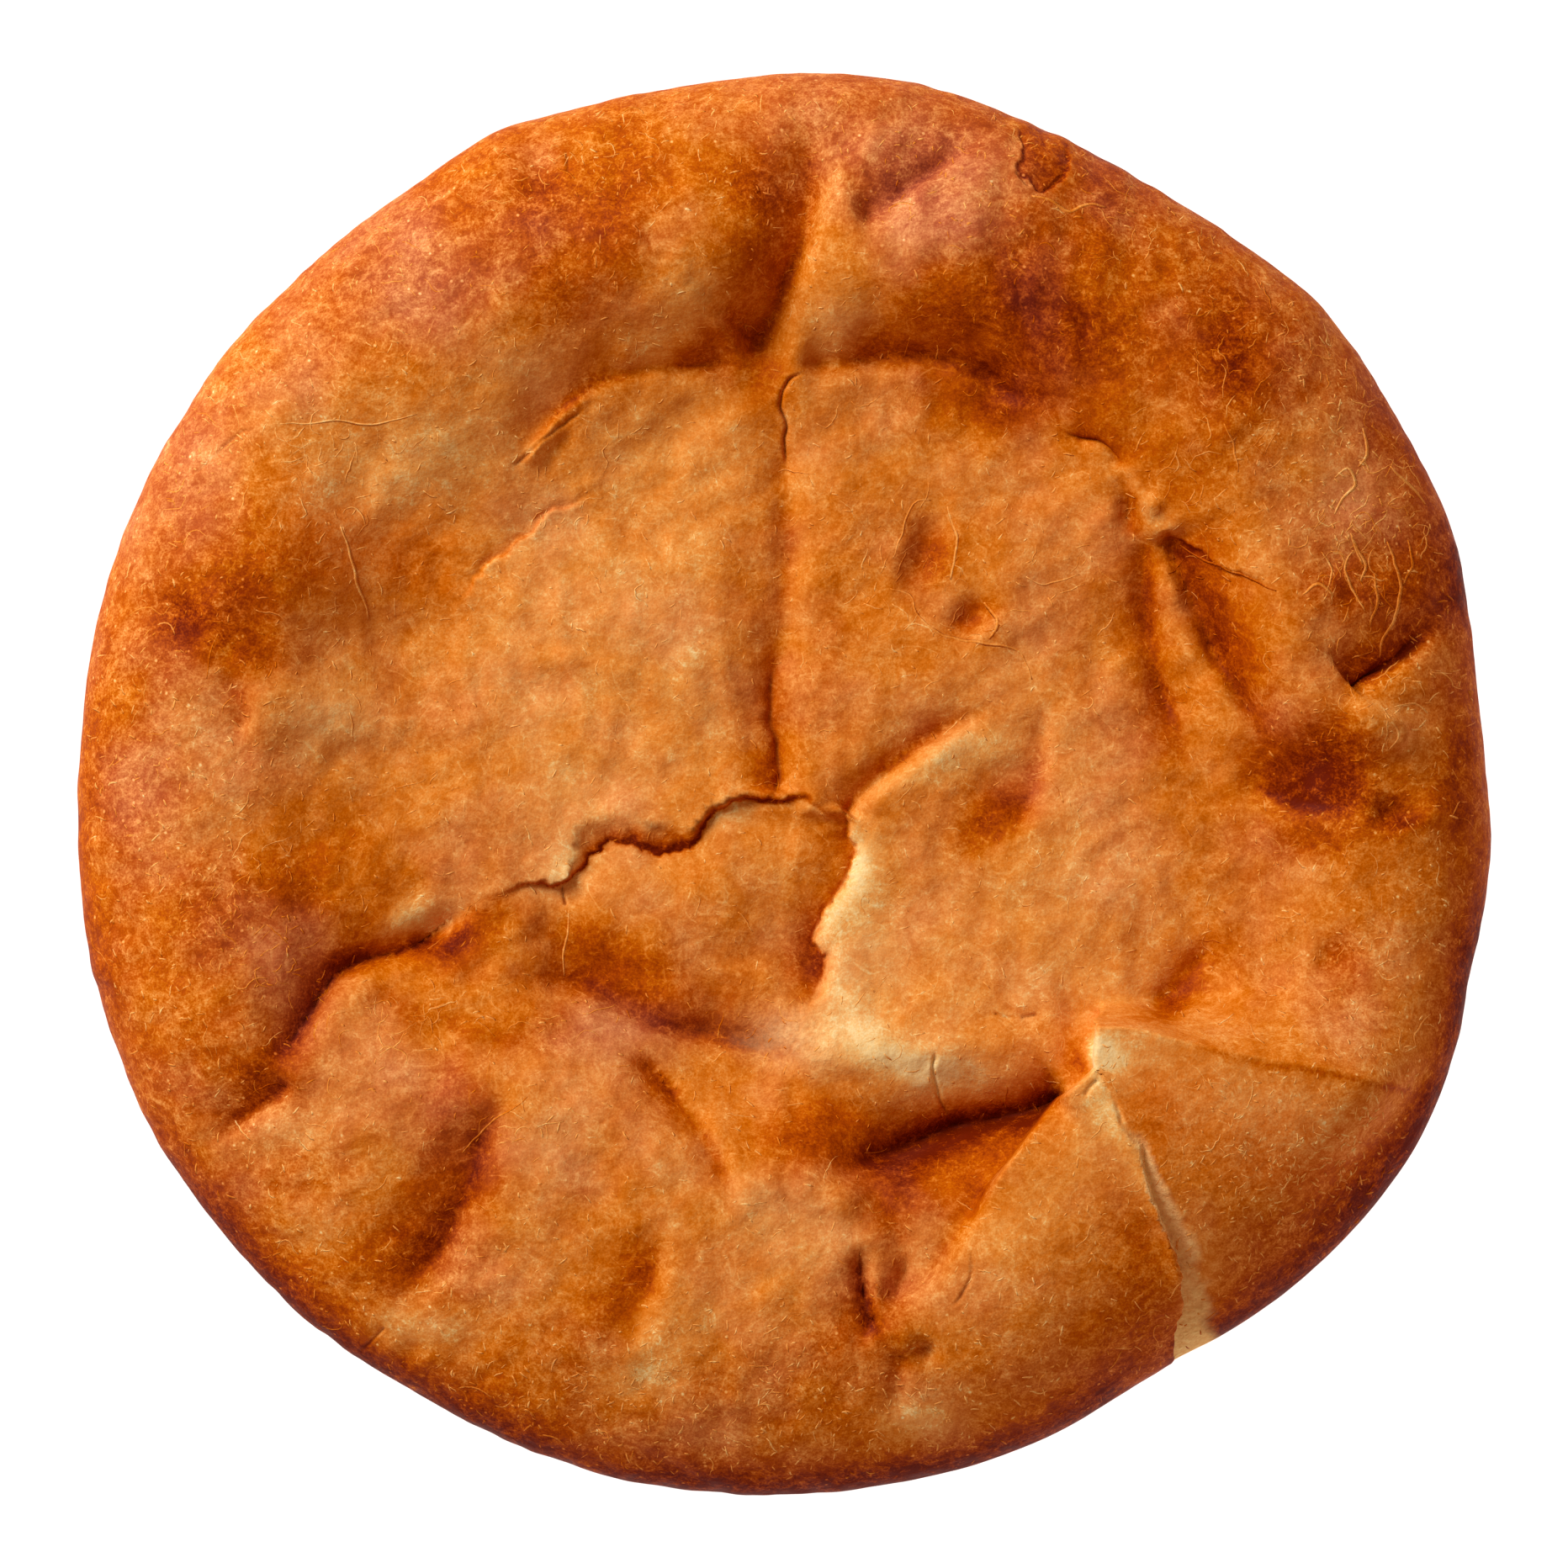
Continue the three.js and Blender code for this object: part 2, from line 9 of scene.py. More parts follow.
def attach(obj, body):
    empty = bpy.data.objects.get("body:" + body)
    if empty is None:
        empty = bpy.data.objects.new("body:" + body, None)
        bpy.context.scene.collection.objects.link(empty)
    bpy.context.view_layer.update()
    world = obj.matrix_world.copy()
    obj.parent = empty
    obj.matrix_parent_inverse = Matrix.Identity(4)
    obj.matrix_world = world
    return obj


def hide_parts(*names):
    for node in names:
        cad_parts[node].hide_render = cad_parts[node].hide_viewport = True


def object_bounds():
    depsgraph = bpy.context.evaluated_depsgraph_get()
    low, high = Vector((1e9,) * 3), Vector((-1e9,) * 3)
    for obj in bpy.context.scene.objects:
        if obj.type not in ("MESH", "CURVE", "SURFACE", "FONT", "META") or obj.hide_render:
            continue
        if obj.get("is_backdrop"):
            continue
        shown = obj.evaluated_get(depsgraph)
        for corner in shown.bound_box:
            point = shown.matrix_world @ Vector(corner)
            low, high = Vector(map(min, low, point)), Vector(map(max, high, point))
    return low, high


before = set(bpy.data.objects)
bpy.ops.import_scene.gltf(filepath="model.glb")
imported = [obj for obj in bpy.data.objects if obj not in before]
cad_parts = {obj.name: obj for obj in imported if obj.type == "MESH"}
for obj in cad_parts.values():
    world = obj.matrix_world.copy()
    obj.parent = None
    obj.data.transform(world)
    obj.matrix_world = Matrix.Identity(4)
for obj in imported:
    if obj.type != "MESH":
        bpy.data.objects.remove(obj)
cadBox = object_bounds()
mm = 0.001
print("frame loaded, nodes", sorted(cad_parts))


# small helpers for paths and soft random fields, all in millimetres seen from above

def smoothStep(low, high, value):
    t = np.clip((value - low) / (high - low), 0, 1)
    return t * t * (3 - 2 * t)


def between(pair, share):
    return pair[0] + (pair[1] - pair[0]) * share


def cloud(x, y, size, seed):
    # a soft random field from -1 to 1, with lumps of this size
    cells, shift = 64, 500  # the shift keeps cell numbers positive
    table = np.random.default_rng(seed).uniform(-1, 1, (cells, cells))
    u, v = x / size + shift, y / size + shift
    i, j = np.floor(u).astype(int), np.floor(v).astype(int)
    f, g = smoothStep(0, 1, u - i), smoothStep(0, 1, v - j)
    i, j, nextI, nextJ = i % cells, j % cells, (i + 1) % cells, (j + 1) % cells
    low = table[i, j] * (1 - f) + table[nextI, j] * f
    high = table[i, nextJ] * (1 - f) + table[nextI, nextJ] * f
    return low * (1 - g) + high * g


def wander(x, y, layers, seed):
    # moves points about by layers of soft noise (how far, lump size), so that nothing drawn runs too evenly
    moved = []
    for place in (x, y):
        for far, size in layers:
            place = place + far * cloud(x, y, size, seed)
            seed += 1
        moved.append(place)
    return moved


def partWay(share, near, x, y, wx, wy):
    # the near points, this share of the way to the places they wander to
    return (1 - share) * x[near] + share * wx[near], (1 - share) * y[near] + share * wy[near]


def ovalPatch(x, y, middleX, middleY, long, wide, turn):
    # 1 in the middle of a turned oval, dying out over its half length and half width
    c, s = math.cos(math.radians(turn)), math.sin(math.radians(turn))
    a = ((x - middleX) * c + (y - middleY) * s) / long
    b = ((y - middleY) * c - (x - middleX) * s) / wide
    return np.exp(-(a * a + b * b))


def curveThrough(points, step=0.7):
    p = np.array(points, float)
    p = np.vstack([2 * p[0] - p[1], p, 2 * p[-1] - p[-2]])
    runs = []
    for a, b, c, d in zip(p, p[1:], p[2:], p[3:]):
        t = np.linspace(0, 1, max(3, int(np.hypot(*(c - b)) / step)), endpoint=False)[:, None]
        runs.append(0.5 * (2 * b + (c - a) * t + (2 * a - 5 * b + 4 * c - d) * t ** 2
                           + (3 * b - a - 3 * c + d) * t ** 3))
    return np.vstack(runs + [p[-2:-1]])


def foldLine(points):
    # a long fold runs smoothly, a short curl keeps its turns
    path = curveThrough(points)
    rounds = 14 if len(path) > 30 else 2
    for _ in range(rounds):
        path = np.vstack([path[:1], 0.25 * path[:-2] + 0.5 * path[1:-1] + 0.25 * path[2:], path[-1:]])
    return path


def besidePath(path, x, y):
    # distance, side (1 left, -1 right), how far along, and the direction across to the left
    gap, side, along, across = np.full(len(x), 1e9), np.ones(len(x)), np.zeros(len(x)), np.zeros((2, len(x)))
    for i in range(len(path) - 1):
        (ax, ay), (rx, ry) = path[i], path[i + 1] - path[i]
        held = np.clip(((x - ax) * rx + (y - ay) * ry) / (rx * rx + ry * ry), 0, 1)
        d = np.hypot(x - ax - held * rx, y - ay - held * ry)
        near = d < gap
        gap = np.where(near, d, gap)
        side = np.where(near, np.where(rx * (y - ay) - ry * (x - ax) >= 0, 1, -1), side)
        along = np.where(near, (i + held) / (len(path) - 1), along)
        across = np.where(near, np.array([[-ry], [rx]]) / math.hypot(rx, ry), across)
    return gap, side, along, across


def closeTo(path, x, y, reach):
    return ((x > path[:, 0].min() - reach) & (x < path[:, 0].max() + reach)
            & (y > path[:, 1].min() - reach) & (y < path[:, 1].max() + reach))


def endFade(along, fade):
    # 1 along a path, dying out over these shares of it at its two ends
    return smoothStep(0, fade[0], along) * smoothStep(0, fade[1], 1 - along)


# the loaf, sizes in millimetres

loaf = {
    "radius": 105, "rimHeight": 33, "bulgeHeight": 13,
    "shoulder": 0.66, "foot": 0.9, "rimArc": 0.36,  # shares of the radius
    "roundness": 2.25,  # how square the rim is
    "wallShare": 0.3,  # how much of the relief is left at the side
    # rings of the flat disc past 1 make the side and the base
    "footRings": 8, "sideEnd": 1.16, "baseRings": [1.2, 1.28, 1.4], "baseIn": 0.9,
    "cells": 232, "fineReach": (2.2, 1.1), "fineEnd": 1.1,  # quads across the top, finer by sharp lines
    "hollowRadius": 68, "hollowDepth": 11, "hollowSlope": 9,
    # bulges of the outline, of the hollow's edge and of its slope: direction, spread, how much
    "outline": [(22, 10, 1.2), (40, 9, 1.4), (60, 9, -0.9), (77, 10, 0.9), (113, 5, 0.7), (132, 20, -0.9),
                (214, 26, 1.8), (260, 12, 1.1), (302, 8, -1.6), (329, 14.5, 3.2), (5, 8, -1.2), (351, 6, 0.5),
                (176, 12, -0.7), (70, 8, -0.6)],
    "hollow": [(130, 12, 2), (144, 7, 9), (180, 22, 10), (240, 30, -20), (275, 18, -10), (321, 7, -8),
               (342, 16, 20)],
    "slopes": [(124, 18, 18), (148, 8, 8), (172, 9, 12), (198, 24, 20), (345, 18, 10), (30, 16, 5),
               (86, 6, 12)],
    "ripple": 0.5,
    "crumples": [(9, 0.44), (4.6, 0.31), (2.3, 0.21), (1.3, 0.08)],  # lump size, height
    "wrinkles": [(0.6, 2.4), (1.7, 2.1), (2.7, 2.6)], "wrinkleHeight": 0.25,  # direction, spacing
}
lineWander = {"layers": [(0.45, 5), (0.2, 1.6)], "seed": 21}  # how drawn lines wander

# the pinched-up corner, two flat panels that meet in a peak, and the split between them, open down to the rim
flap = {
    "peak": (47, -36.5), "peakRise": 4.8, "box": [(0, -105), (115, -25)],
    "edge": (0.8, 3.4), "edgeReach": (22, 50),  # width by the peak and away from it
    "farSlope": (3, 10), "slopeReach": (0, 30),
    "over": 2.4, "overReach": 60, "overFade": 3, "levelReach": 13, "fadeRadius": (90, 104),
    "calm": 0.6,  # how much smoother than the rest
    "farHeading": (0.985, -0.173),
    "rightFall": (0.03, 0.0028), "leftFall": (0.04, 0.06),  # along an edge, and away from it
    "leftEdge": [(47, -35.5), (46.4, -40), (46.3, -42), (43.6, -44.6), (40.4, -47.3), (37.1, -51.1),
                 (34.5, -54.4), (30.6, -59), (28, -63.5), (24.1, -68), (17, -77), (10, -85), (0, -98)],
    "farEdge": [(46, -35.8), (49.9, -35.6), (53, -36), (58.5, -37.5), (68.8, -39.5), (77.9, -40.5),
                (86, -42.6), (94.3, -44.1), (110, -47)],
}
split = {
    "path": [(47.3, -40), (47.5, -44), (49.1, -47.9), (50.1, -50.5), (52.1, -52.5), (52.4, -55), (53, -57.6),
             (54, -60.9), (55.6, -64.8), (57, -68.8), (57.9, -73.3), (58.3, -76.5), (57.9, -81), (58.2, -90),
             (59, -104)],
    # how far along, how deep or wide
    "depth": ([0, 0.16, 0.25, 0.4, 0.55, 0.66, 1], [0, 0.3, 0.9, 1.4, 1.6, 0.9, 0.8]),
    "rightWall": ([0, 0.2, 0.28, 0.38, 0.5, 0.58, 0.64, 0.7, 1], [0.5, 0.8, 1.9, 3.3, 4, 4.6, 6, 7, 7.5]),
    "leftWall": 0.45,
}


def crease(depth, width, fade, path, **more):
    # a fold (depth plus) or a ridge (minus), its width left and right of the path, and how its ends die out
    # more: how far the broad side leans over, how soft it is, a core of painted shade in its bottom (how
    # dark, how wide), and painted shade on its broad side
    return {"depth": depth, "width": width, "fade": fade, "path": path, **more}


folds = {
    "farValley": crease(6, (2.6, 6), (0.3, 0.1), core=(0.35, 1.2), brown=0.3, path=[
        (3.3, 100.3), (3.8, 92.8), (3.9, 86.5), (2.4, 79.6), (0.3, 74.6), (-1.1, 69.6), (-3.6, 65),
        (-6.4, 62.8)]),
    "farRidge": crease(-1.4, (2.4, 2.4), (0.3, 0.3), path=[
        (6.8, 92.8), (6.1, 85.3), (4.3, 76.5), (2.4, 69)]),
    "farPucker": crease(3.2, (3, 2), (0.1, 0.4), brown=0.22, path=[
        (9.9, 83.8), (14.9, 85.3), (19.9, 89.6), (26.1, 93.4), (31, 95.9)]),
    "farPuckerRidge": crease(-1, (1.8, 1.8), (0.3, 0.3), path=[(10.1, 88.4), (13, 94), (14.9, 97.8)]),
    "farRightEdge": crease(4.5, (8, 1.6), (0.12, 0.4), brown=0.26, path=[
        (1.1, 61.5), (11.1, 62.5), (18.6, 63), (26.1, 62.1), (33.6, 57.8), (41.1, 55.9)]),
    "farLeftEdge": crease(2.2, (1.2, 5), (0.1, 0.3), over=0.5, core=(0.3, 0.7), brown=0.16, path=[
        (-6.4, 62.5), (-12.6, 61.5), (-18.9, 61.5), (-26.4, 59.6), (-31.4, 56.5), (-35.1, 53.4),
        (-38.9, 49.6), (-41.4, 48.4)]),
    "farLeftRidge": crease(-0.9, (1.1, 1.1), (0.3, 0.2), path=[
        (-21.4, 60), (-28.9, 57.1), (-33.3, 53.4), (-36.4, 49), (-38.6, 45.9)]),
    "farLeftLine": crease(0.9, (0.8, 0.8), (0.3, 0.3), brown=0.12, path=[
        (-30.1, 52.8), (-33.9, 48.4), (-36.4, 44.6)]),
    "middleValley": crease(2.6, (1.8, 3.4), (0.2, 0.02), soft=0.9, core=(0.16, 1.3), brown=0.12, path=[
        (-1, 57), (0.1, 49.6), (0.5, 39), (0.3, 29), (-0.9, 19), (-1.7, 12), (-0.9, 6.4), (-0.5, 2.3),
        (-0.9, -1.5)]),
    "tearFold": crease(3, (2.4, 1.3), (0.02, 0.5), core=(0.2, 0.9), brown=0.12, path=[
        (9, -4.4), (11.9, -1), (16, 2.5), (21.4, 6.9), (25.5, 8.8), (36, 12.6)]),
    "tearFoldRidge": crease(-1.3, (2, 3), (0.1, 0.4), path=[
        (11.5, -5), (15, -1.2), (19.5, 2.6), (24.5, 6), (30, 8.2)]),
    "dimpleEdge": crease(2, (0.8, 5), (0.3, 0.25), brown=0.14, path=[
        (38.9, 12.1), (38.4, 7), (37.9, 2.4), (36.3, -3.4), (33, -6.6)]),
    "nearFold": crease(3.4, (5, 1.8), (0.25, 0.2), core=(0.36, 1.7), brown=0.24, path=[
        (-41.7, -27.5), (-33.9, -29.3), (-27.9, -29.9), (-24.3, -32.3), (-19.5, -35.3), (-15.9, -36.5),
        (-9.9, -37.1), (-5.1, -37.8), (0.8, -41.1), (3.4, -41.8)]),
    "paleRidge": crease(-2.6, (5, 5), (0.25, 0.1), path=[
        (-4, -41), (8.6, -39.5), (21, -39.5), (33.6, -38), (44, -36.5)]),
    "nearValley": crease(6, (3.4, 2), (0.35, 0.04), over=0.8, core=(1, 2.3), brown=0.36, path=[
        (4, -57), (8.6, -56.2), (16.1, -54.4), (21.1, -52.2), (24.9, -50.6), (29.3, -49.7), (33.6, -49),
        (37.4, -48), (42, -46)]),
    "leftDeepFold": crease(5.5, (1.6, 4.5), (0.25, 0.15), over=0.9, core=(0.6, 2), brown=0.28, path=[
        (-44.1, -17), (-47.7, -19.1), (-51.9, -22.1), (-55.5, -24.5), (-61.5, -25.7), (-66.3, -27.8),
        (-68.1, -29.9), (-69.3, -32.3), (-71.1, -34.1), (-72.3, -37.1), (-74.1, -39.5), (-76.5, -41.9)]),
    "nearLeftCrease": crease(2.6, (1.3, 3.2), (0.2, 0.35), core=(0.35, 0.8), brown=0.2, path=[
        (-71.6, -42.5), (-74.1, -45.5), (-78.3, -48.5), (-82.5, -51.5), (-84.9, -53.3)]),
    "nearLeftValley": crease(3.4, (2.2, 6.5), (0.3, 0.3), core=(0.15, 1.6), brown=0.22, path=[
        (-39, -44), (-43, -50), (-45.5, -56), (-47.5, -62), (-50.5, -68), (-55, -74), (-59, -78)]),
    "nearMidValley": crease(1.8, (1.4, 5), (0.3, 0.4), brown=0.12, path=[
        (-17.6, -63.5), (-18.6, -69.8), (-19.9, -74.8), (-22, -79.8), (-23.3, -86)]),
    "nearCrease": crease(1.8, (0.9, 2.4), (0.2, 0.25), core=(0.25, 0.9), brown=0.16, path=[
        (-22.5, -38.9), (-19.5, -41.9), (-16.5, -45.5), (-14.1, -47.9), (-11.1, -52.1), (-8.6, -56.3),
        (-7.1, -60.5), (-7.1, -63)]),
    "nearCreaseRidge": crease(-0.9, (1.6, 1.6), (0.3, 0.3), path=[(-11.5, -48), (-8.3, -53), (-5.8, -58)]),
    "leftRimCrease": crease(1.6, (0.9, 1.8), (0.2, 0.3), brown=0.15, path=[
        (-84.5, 16.5), (-80.8, 14), (-79.9, 11.3), (-81, 7.8), (-82.3, 5)]),
    "curlCrease": crease(2.6, (1.8, 3.2), (0.25, 0.1), brown=0.16, path=[
        (10.5, -58.3), (13.8, -61.5), (16.4, -64.8), (17.6, -67.4), (18, -71.3), (17, -73.9),
        (15.6, -77.8)]),
    "curlFold": crease(3, (0.9, 1.6), (0.3, 0.1), over=0.7, core=(0.6, 1), brown=0.28, path=[
        (11.5, -67), (11.2, -71), (11.8, -75), (12.6, -79), (13.6, -81)]),
    "curlRib": crease(-0.9, (0.7, 0.7), (0.3, 0.2), path=[(13.4, -71), (13.6, -75), (12.9, -79)]),
    "curlLoop": crease(-1.3, (0.7, 0.7), (0.1, 0.1), path=[
        (13.1, -79.8), (15, -81), (17.6, -81.4), (18.3, -80.4), (16.4, -79.1), (14.2, -79.3)]),
    "curlTail": crease(1.3, (0.9, 2), (0.1, 0.4), brown=0.12, path=[
        (17.6, -83), (17, -86.9), (17, -91.5), (17.6, -93.4)]),
    "flapCrease": crease(1.6, (1.2, 2.4), (0.2, 0.15), brown=0.16, path=[
        (31.5, -57.5), (28, -63.5), (24.1, -68), (20.9, -72.6), (17, -76.5)]),
    "rightTuck": crease(1.5, (2.4, 0.8), (0.25, 0.15), over=0.6, core=(0.5, 0.5), brown=0.2, path=[
        (41.2, 51.2), (44.6, 50.9), (46.6, 50.4), (48.9, 48.1), (50, 46)]),
    "rightRidge": crease(-1.3, (0.9, 0.9), (0.2, 0.2), path=[
        (50.5, 44.8), (51.8, 42.6), (53.9, 40.9), (55.4, 39.8)]),
    "rightFold": crease(3.6, (4.5, 1.4), (0.06, 0.3), core=(0.36, 1.7), brown=0.22, path=[
        (55.8, 37.4), (57.4, 33.5), (59.4, 28.5), (61.8, 23.5), (64.4, 18), (67.4, 12.5), (71, 7.5),
        (75, 3.4)]),
    "rightGroove": crease(2.8, (1.5, 2.4), (0.12, 0.4), core=(0.3, 1.1), brown=0.2, path=[
        (52.9, 38), (53.3, 33), (53.4, 27), (54, 20), (56, 13), (58, 7), (59.5, 0.3)]),
    "grooveRidge": crease(-1.2, (1.2, 1.2), (0.15, 0.4), path=[
        (55.6, 37), (56.6, 32), (57.6, 27), (59.4, 21)]),
    "knobRidge": crease(-1.7, (1.2, 1.4), (0.2, 0.3), path=[
        (81.4, 11.3), (85.5, 10.5), (88.6, 9), (90.2, 7.4), (88.8, 4.9), (88.6, 2.9)]),
    "rightDentFold": crease(2, (4, 1.1), (0.25, 0.2), core=(0.4, 0.9), brown=0.2, path=[
        (66.3, -1.8), (70.4, -0.8), (77.6, -2.9), (85.9, -3.4)]),
    "splitLip": crease(-0.5, (0.45, 0.7), (0.1, 0.1), path=[
        (px - 0.75, py) for px, py in [(48.2, -46)] + split["path"][2:11]]),
    "tornPitEdge": crease(-1.1, (1.1, 1.4), (0.3, 0.3), path=[(89.5, -8), (93.1, -5.4), (96.5, -2.9)]),
    "rightCrease": crease(4, (4.5, 1.2), (0.06, 0.35), over=1.1, core=(0.8, 0.7), brown=0.25, path=[
        (83.3, 13.8), (85.9, 15.8), (89.5, 17.9), (92.1, 19.4), (95.3, 22.5), (97.8, 24)]),
    "peakCrease": crease(2, (2.6, 2.2), (0.4, 0.2), brown=0.18, path=[
        (66, -22), (62.5, -25), (59.9, -27.5), (56.5, -31.5), (54, -35)]),
}

# round dents and swellings: middle, half length, half width, turn, height
swells = {
    "leftDent": (-66, 30, 16, 9, 15, -1.6), "leftBlister": (-90, 25, 5, 4.5, 0, -1.4),
    "leftKnob": (-77.6, 10.3, 4, 5, 0, 1.3), "leftShelf": (-69, 11, 10, 6, 0, 1.5),
    "leftNearLobe": (-80, -25, 13, 15, 0, 2.6), "overLeftFold": (-53, -18.5, 5, 2, 20, 1.3),
    "nearShoulder": (-33, -34, 16, 4.5, -14, 1.6), "middleTongue": (-11, -14.5, 13, 8, -10, 1.8),
    "rightDimple": (31, -0.5, 7, 5, 50, -1.6), "smallDimple": (27.4, 24.6, 3.2, 2.1, 35, -2.4),
    "smallRim": (30.6, 22.6, 3, 1, 40, 0.7), "ovalDimple": (20.8, 34.5, 6, 3.2, 75, -2),
    "ovalRim": (25.3, 36, 5, 1.3, 85, 0.7), "ovalRimToo": (17, 33, 5, 1.2, 75, 0.6),
    "rightDent": (78.5, 3, 8.5, 5.5, -10, -4), "tornPit": (90.5, -4.5, 3, 2.2, -15, -2.6),
    "rightKnob": (86, 8, 4.6, 3.2, -30, 2.8), "rimPit": (83.6, -26, 2.6, 3, 0, -1.8),
    "pinchPit": (50.8, 40.3, 3.5, 1.5, 98, -2.4), "curlPit": (20.9, -83, 1.5, 1.3, 0, -2.4),
    "farLeftDent": (-35, 89, 4.5, 3.5, 60, -1.2), "farLeftLobe": (-42, 72, 24, 12, 35, 2),
    "farMidLobe": (-13, 82, 10, 14, 0, 1.5), "farRightLobe": (27, 80, 18, 11, -12, 2.4),
    "farRidgeFoot": (7, 69, 5, 8, -20, 1.5), "rightFarLobe": (70, 52, 16, 12, -45, 1.5),
    "leftGap": (-64, 50, 9, 7, -40, -1.8), "flapFace": (36, -76, 16, 12, 50, 1.5),
}

# torn edges: the crust left of the path ends above that on its right, by a drop that dies out over its reach;
# the wall (how far along, how wide) has an edge on top and a groove (gap) at its foot
# beside each tear painted shade falls on its wall, at its foot and on its lower side
tears = {
    "middleTear": {
        "path": [(-43.3, -16.8), (-36.4, -14.8), (-32.4, -14.9), (-28.9, -11.4), (-25.9, -8.8), (-22.4, -9),
                 (-18.3, -10), (-14.6, -10), (-12.3, -8.1), (-11.1, -5.8), (-8.1, -3.1), (-5.1, -2.3),
                 (-1.8, -2.9), (2.4, -2.3), (4.8, -3.5), (7.1, -4.8), (9, -4.4)],
        "drop": 2.2, "reach": 12, "gap": 0.1, "edge": 0.45, "shade": 0.5, "ragged": 0.45,
        "fade": (0.2, 0.3),
        "wall": ([0, 0.22, 0.32, 0.42, 0.56, 0.64, 1], [0.4, 0.5, 3.6, 3.2, 4.4, 0.8, 0.5]),
    },
    "rightSheet": {
        "path": [(9.5, -3.7), (9.6, -7.8), (10.8, -9.9), (8.6, -15.5), (6, -19), (4.5, -22.6), (6, -26.1),
                 (5.4, -30.3), (3, -34)],
        "drop": 2.4, "reach": 8, "gap": 0.1, "edge": 0, "foot": 0.12, "lowShade": 0.24, "lowShadeReach": 4,
        "ragged": 0.5, "fade": (0.06, 0.25), "wall": ([0, 1], [2.4, 2.4]),
    },
    "plateauFlake": {
        "path": [(-28, 44.5), (-30.1, 41.8), (-34.5, 40), (-38.3, 36.5), (-42, 34), (-45.1, 30.9),
                 (-47.4, 26.5)],
        "drop": 0.7, "reach": 7, "gap": 0.1, "edge": 0.4, "ragged": 0.5, "fade": (0.3, 0.3),
    },
    "rightTorn": {
        "path": [(55.6, 37.4), (58.6, 35.3), (61.8, 33.6), (64.9, 31.5), (68.4, 30.4), (71.8, 28.1)],
        "drop": 0.7, "reach": 5, "gap": 0.03, "edge": 0.05, "ragged": 0.4, "fade": (0.12, 0.3),
        "lowShade": 0.1,
    },
    "farFlake": {
        "path": [(41.4, 95.3), (41.8, 91.5), (40.9, 88.8), (38, 86.5), (35.9, 88), (34, 89), (35.5, 92.8),
                 (34, 97.8)],
        "drop": 0.5, "reach": 3, "gap": 0.1, "edge": 0.2, "ragged": 0.4, "fade": (0.15, 0.15), "lowShade": 0.2,
    },
}
thinWall = ([0, 1], [0.35, 0.35])  # of a tear that names no wall

# thin cracks: path, width, depth
cracks = {
    "junction": ([(3.4, 60.9), (0.9, 59.6), (-0.25, 55.3), (0.5, 52.8), (0.1, 49.6), (0.4, 46.5)], 0.4, 1.6),
    "middle": ([(-1.4, 17), (-1.75, 9.3), (-0.9, 6.4), (-0.5, 2.3), (-0.9, -0.8), (-1.6, -3.4)], 0.7, 1.2),
    "underLip": ([(-32.9, -15), (-32.4, -18.3)], 0.3, 1),
    "paleRidge": ([(21.8, -39.1), (22, -42.3), (23, -46), (24.3, -49.1)], 0.4, 1.2),
    "rightSmall": ([(31.1, -34.1), (33.6, -34.4)], 0.3, 0.6),
    "rightSmaller": ([(34.6, -33.9), (37.6, -33.9)], 0.4, 0.8),
    "flapTip": ([(44.6, -46.3), (47.1, -43.8)], 0.3, 0.7),
    "flapFace": ([(27.4, -67.9), (27.4, -71), (26.1, -73.5), (24.3, -75.8)], 0.3, 0.5),
    "nearLeftRim": ([(-58.3, -79.8), (-62.6, -84.1)], 0.4, 1),
    "leftFar": ([(-87, 45.3), (-83.9, 47.8), (-80.1, 51.5), (-77.6, 51.9)], 0.3, 0.6),
    "farLeft": ([(-32, 92.8), (-31.6, 89)], 0.3, 0.7),
    "farRight": ([(33.6, 89.3), (35.1, 87.5), (36.1, 86.5)], 0.4, 0.9),
    "farRightToo": ([(38, 86.5), (41.1, 89.6)], 0.3, 0.6),
    "rightTuck": ([(41.1, 51.5), (46.1, 50.9), (48.6, 49)], 0.35, 0.8),
    "rightCrease": ([(83.6, 13.8), (86.1, 15.9), (91.1, 17.8), (96.1, 21.5)], 0.5, 1.8),
    "leftLine": ([(-28.9, 55.3), (-33.9, 51.5), (-40.1, 46.5)], 0.35, 0.6),
}


def bulgingRadius(radius, bulges, angle):
    out = np.full(len(angle), float(radius))
    for direction, spread, amount in bulges:
        away = np.angle(np.exp(1j * (angle - math.radians(direction))))
        out += amount * np.exp(-(away / math.radians(spread)) ** 2)
    return out


def loafSection(share):
    # half section: share 0 to 1 over the top, then down the side, then in under the base
    top, shoulder, bulge, foot = loaf["rimArc"], loaf["shoulder"], loaf["bulgeHeight"], loaf["foot"]
    side = (share - 1) / (loaf["sideEnd"] - 1)
    under = (share - loaf["sideEnd"]) / (loaf["baseRings"][-1] - loaf["sideEnd"])
    turn = np.clip((share - 1 + top) / top, 0, 1) * math.pi / 2
    power = 2 / loaf["roundness"]
    rim = shoulder + (1 - shoulder) * np.sin(turn) ** power
    out = np.where(share < 1 - top, share / (1 - top) * shoulder, rim)
    z = bulge + (loaf["rimHeight"] - bulge) * np.maximum(np.cos(turn), 0) ** power
    lean = turn / (math.pi / 2)
    keep = 1 + (loaf["wallShare"] - 1) * lean ** 2
    tuck = np.clip(side, 0, 1) * math.pi / 2
    out = np.where(share > 1, foot + (1 - foot) * np.cos(tuck), out)
    z = np.where(share > 1, bulge * (1 - np.sin(tuck)), z)
    keep = np.where(share > 1, loaf["wallShare"] * np.clip(1 - side, 0, 1), keep)
    out = np.where(share > loaf["sideEnd"], foot * (1 - loaf["baseIn"] * np.clip(under, 0, 1)), out)
    return out, z, lean, keep


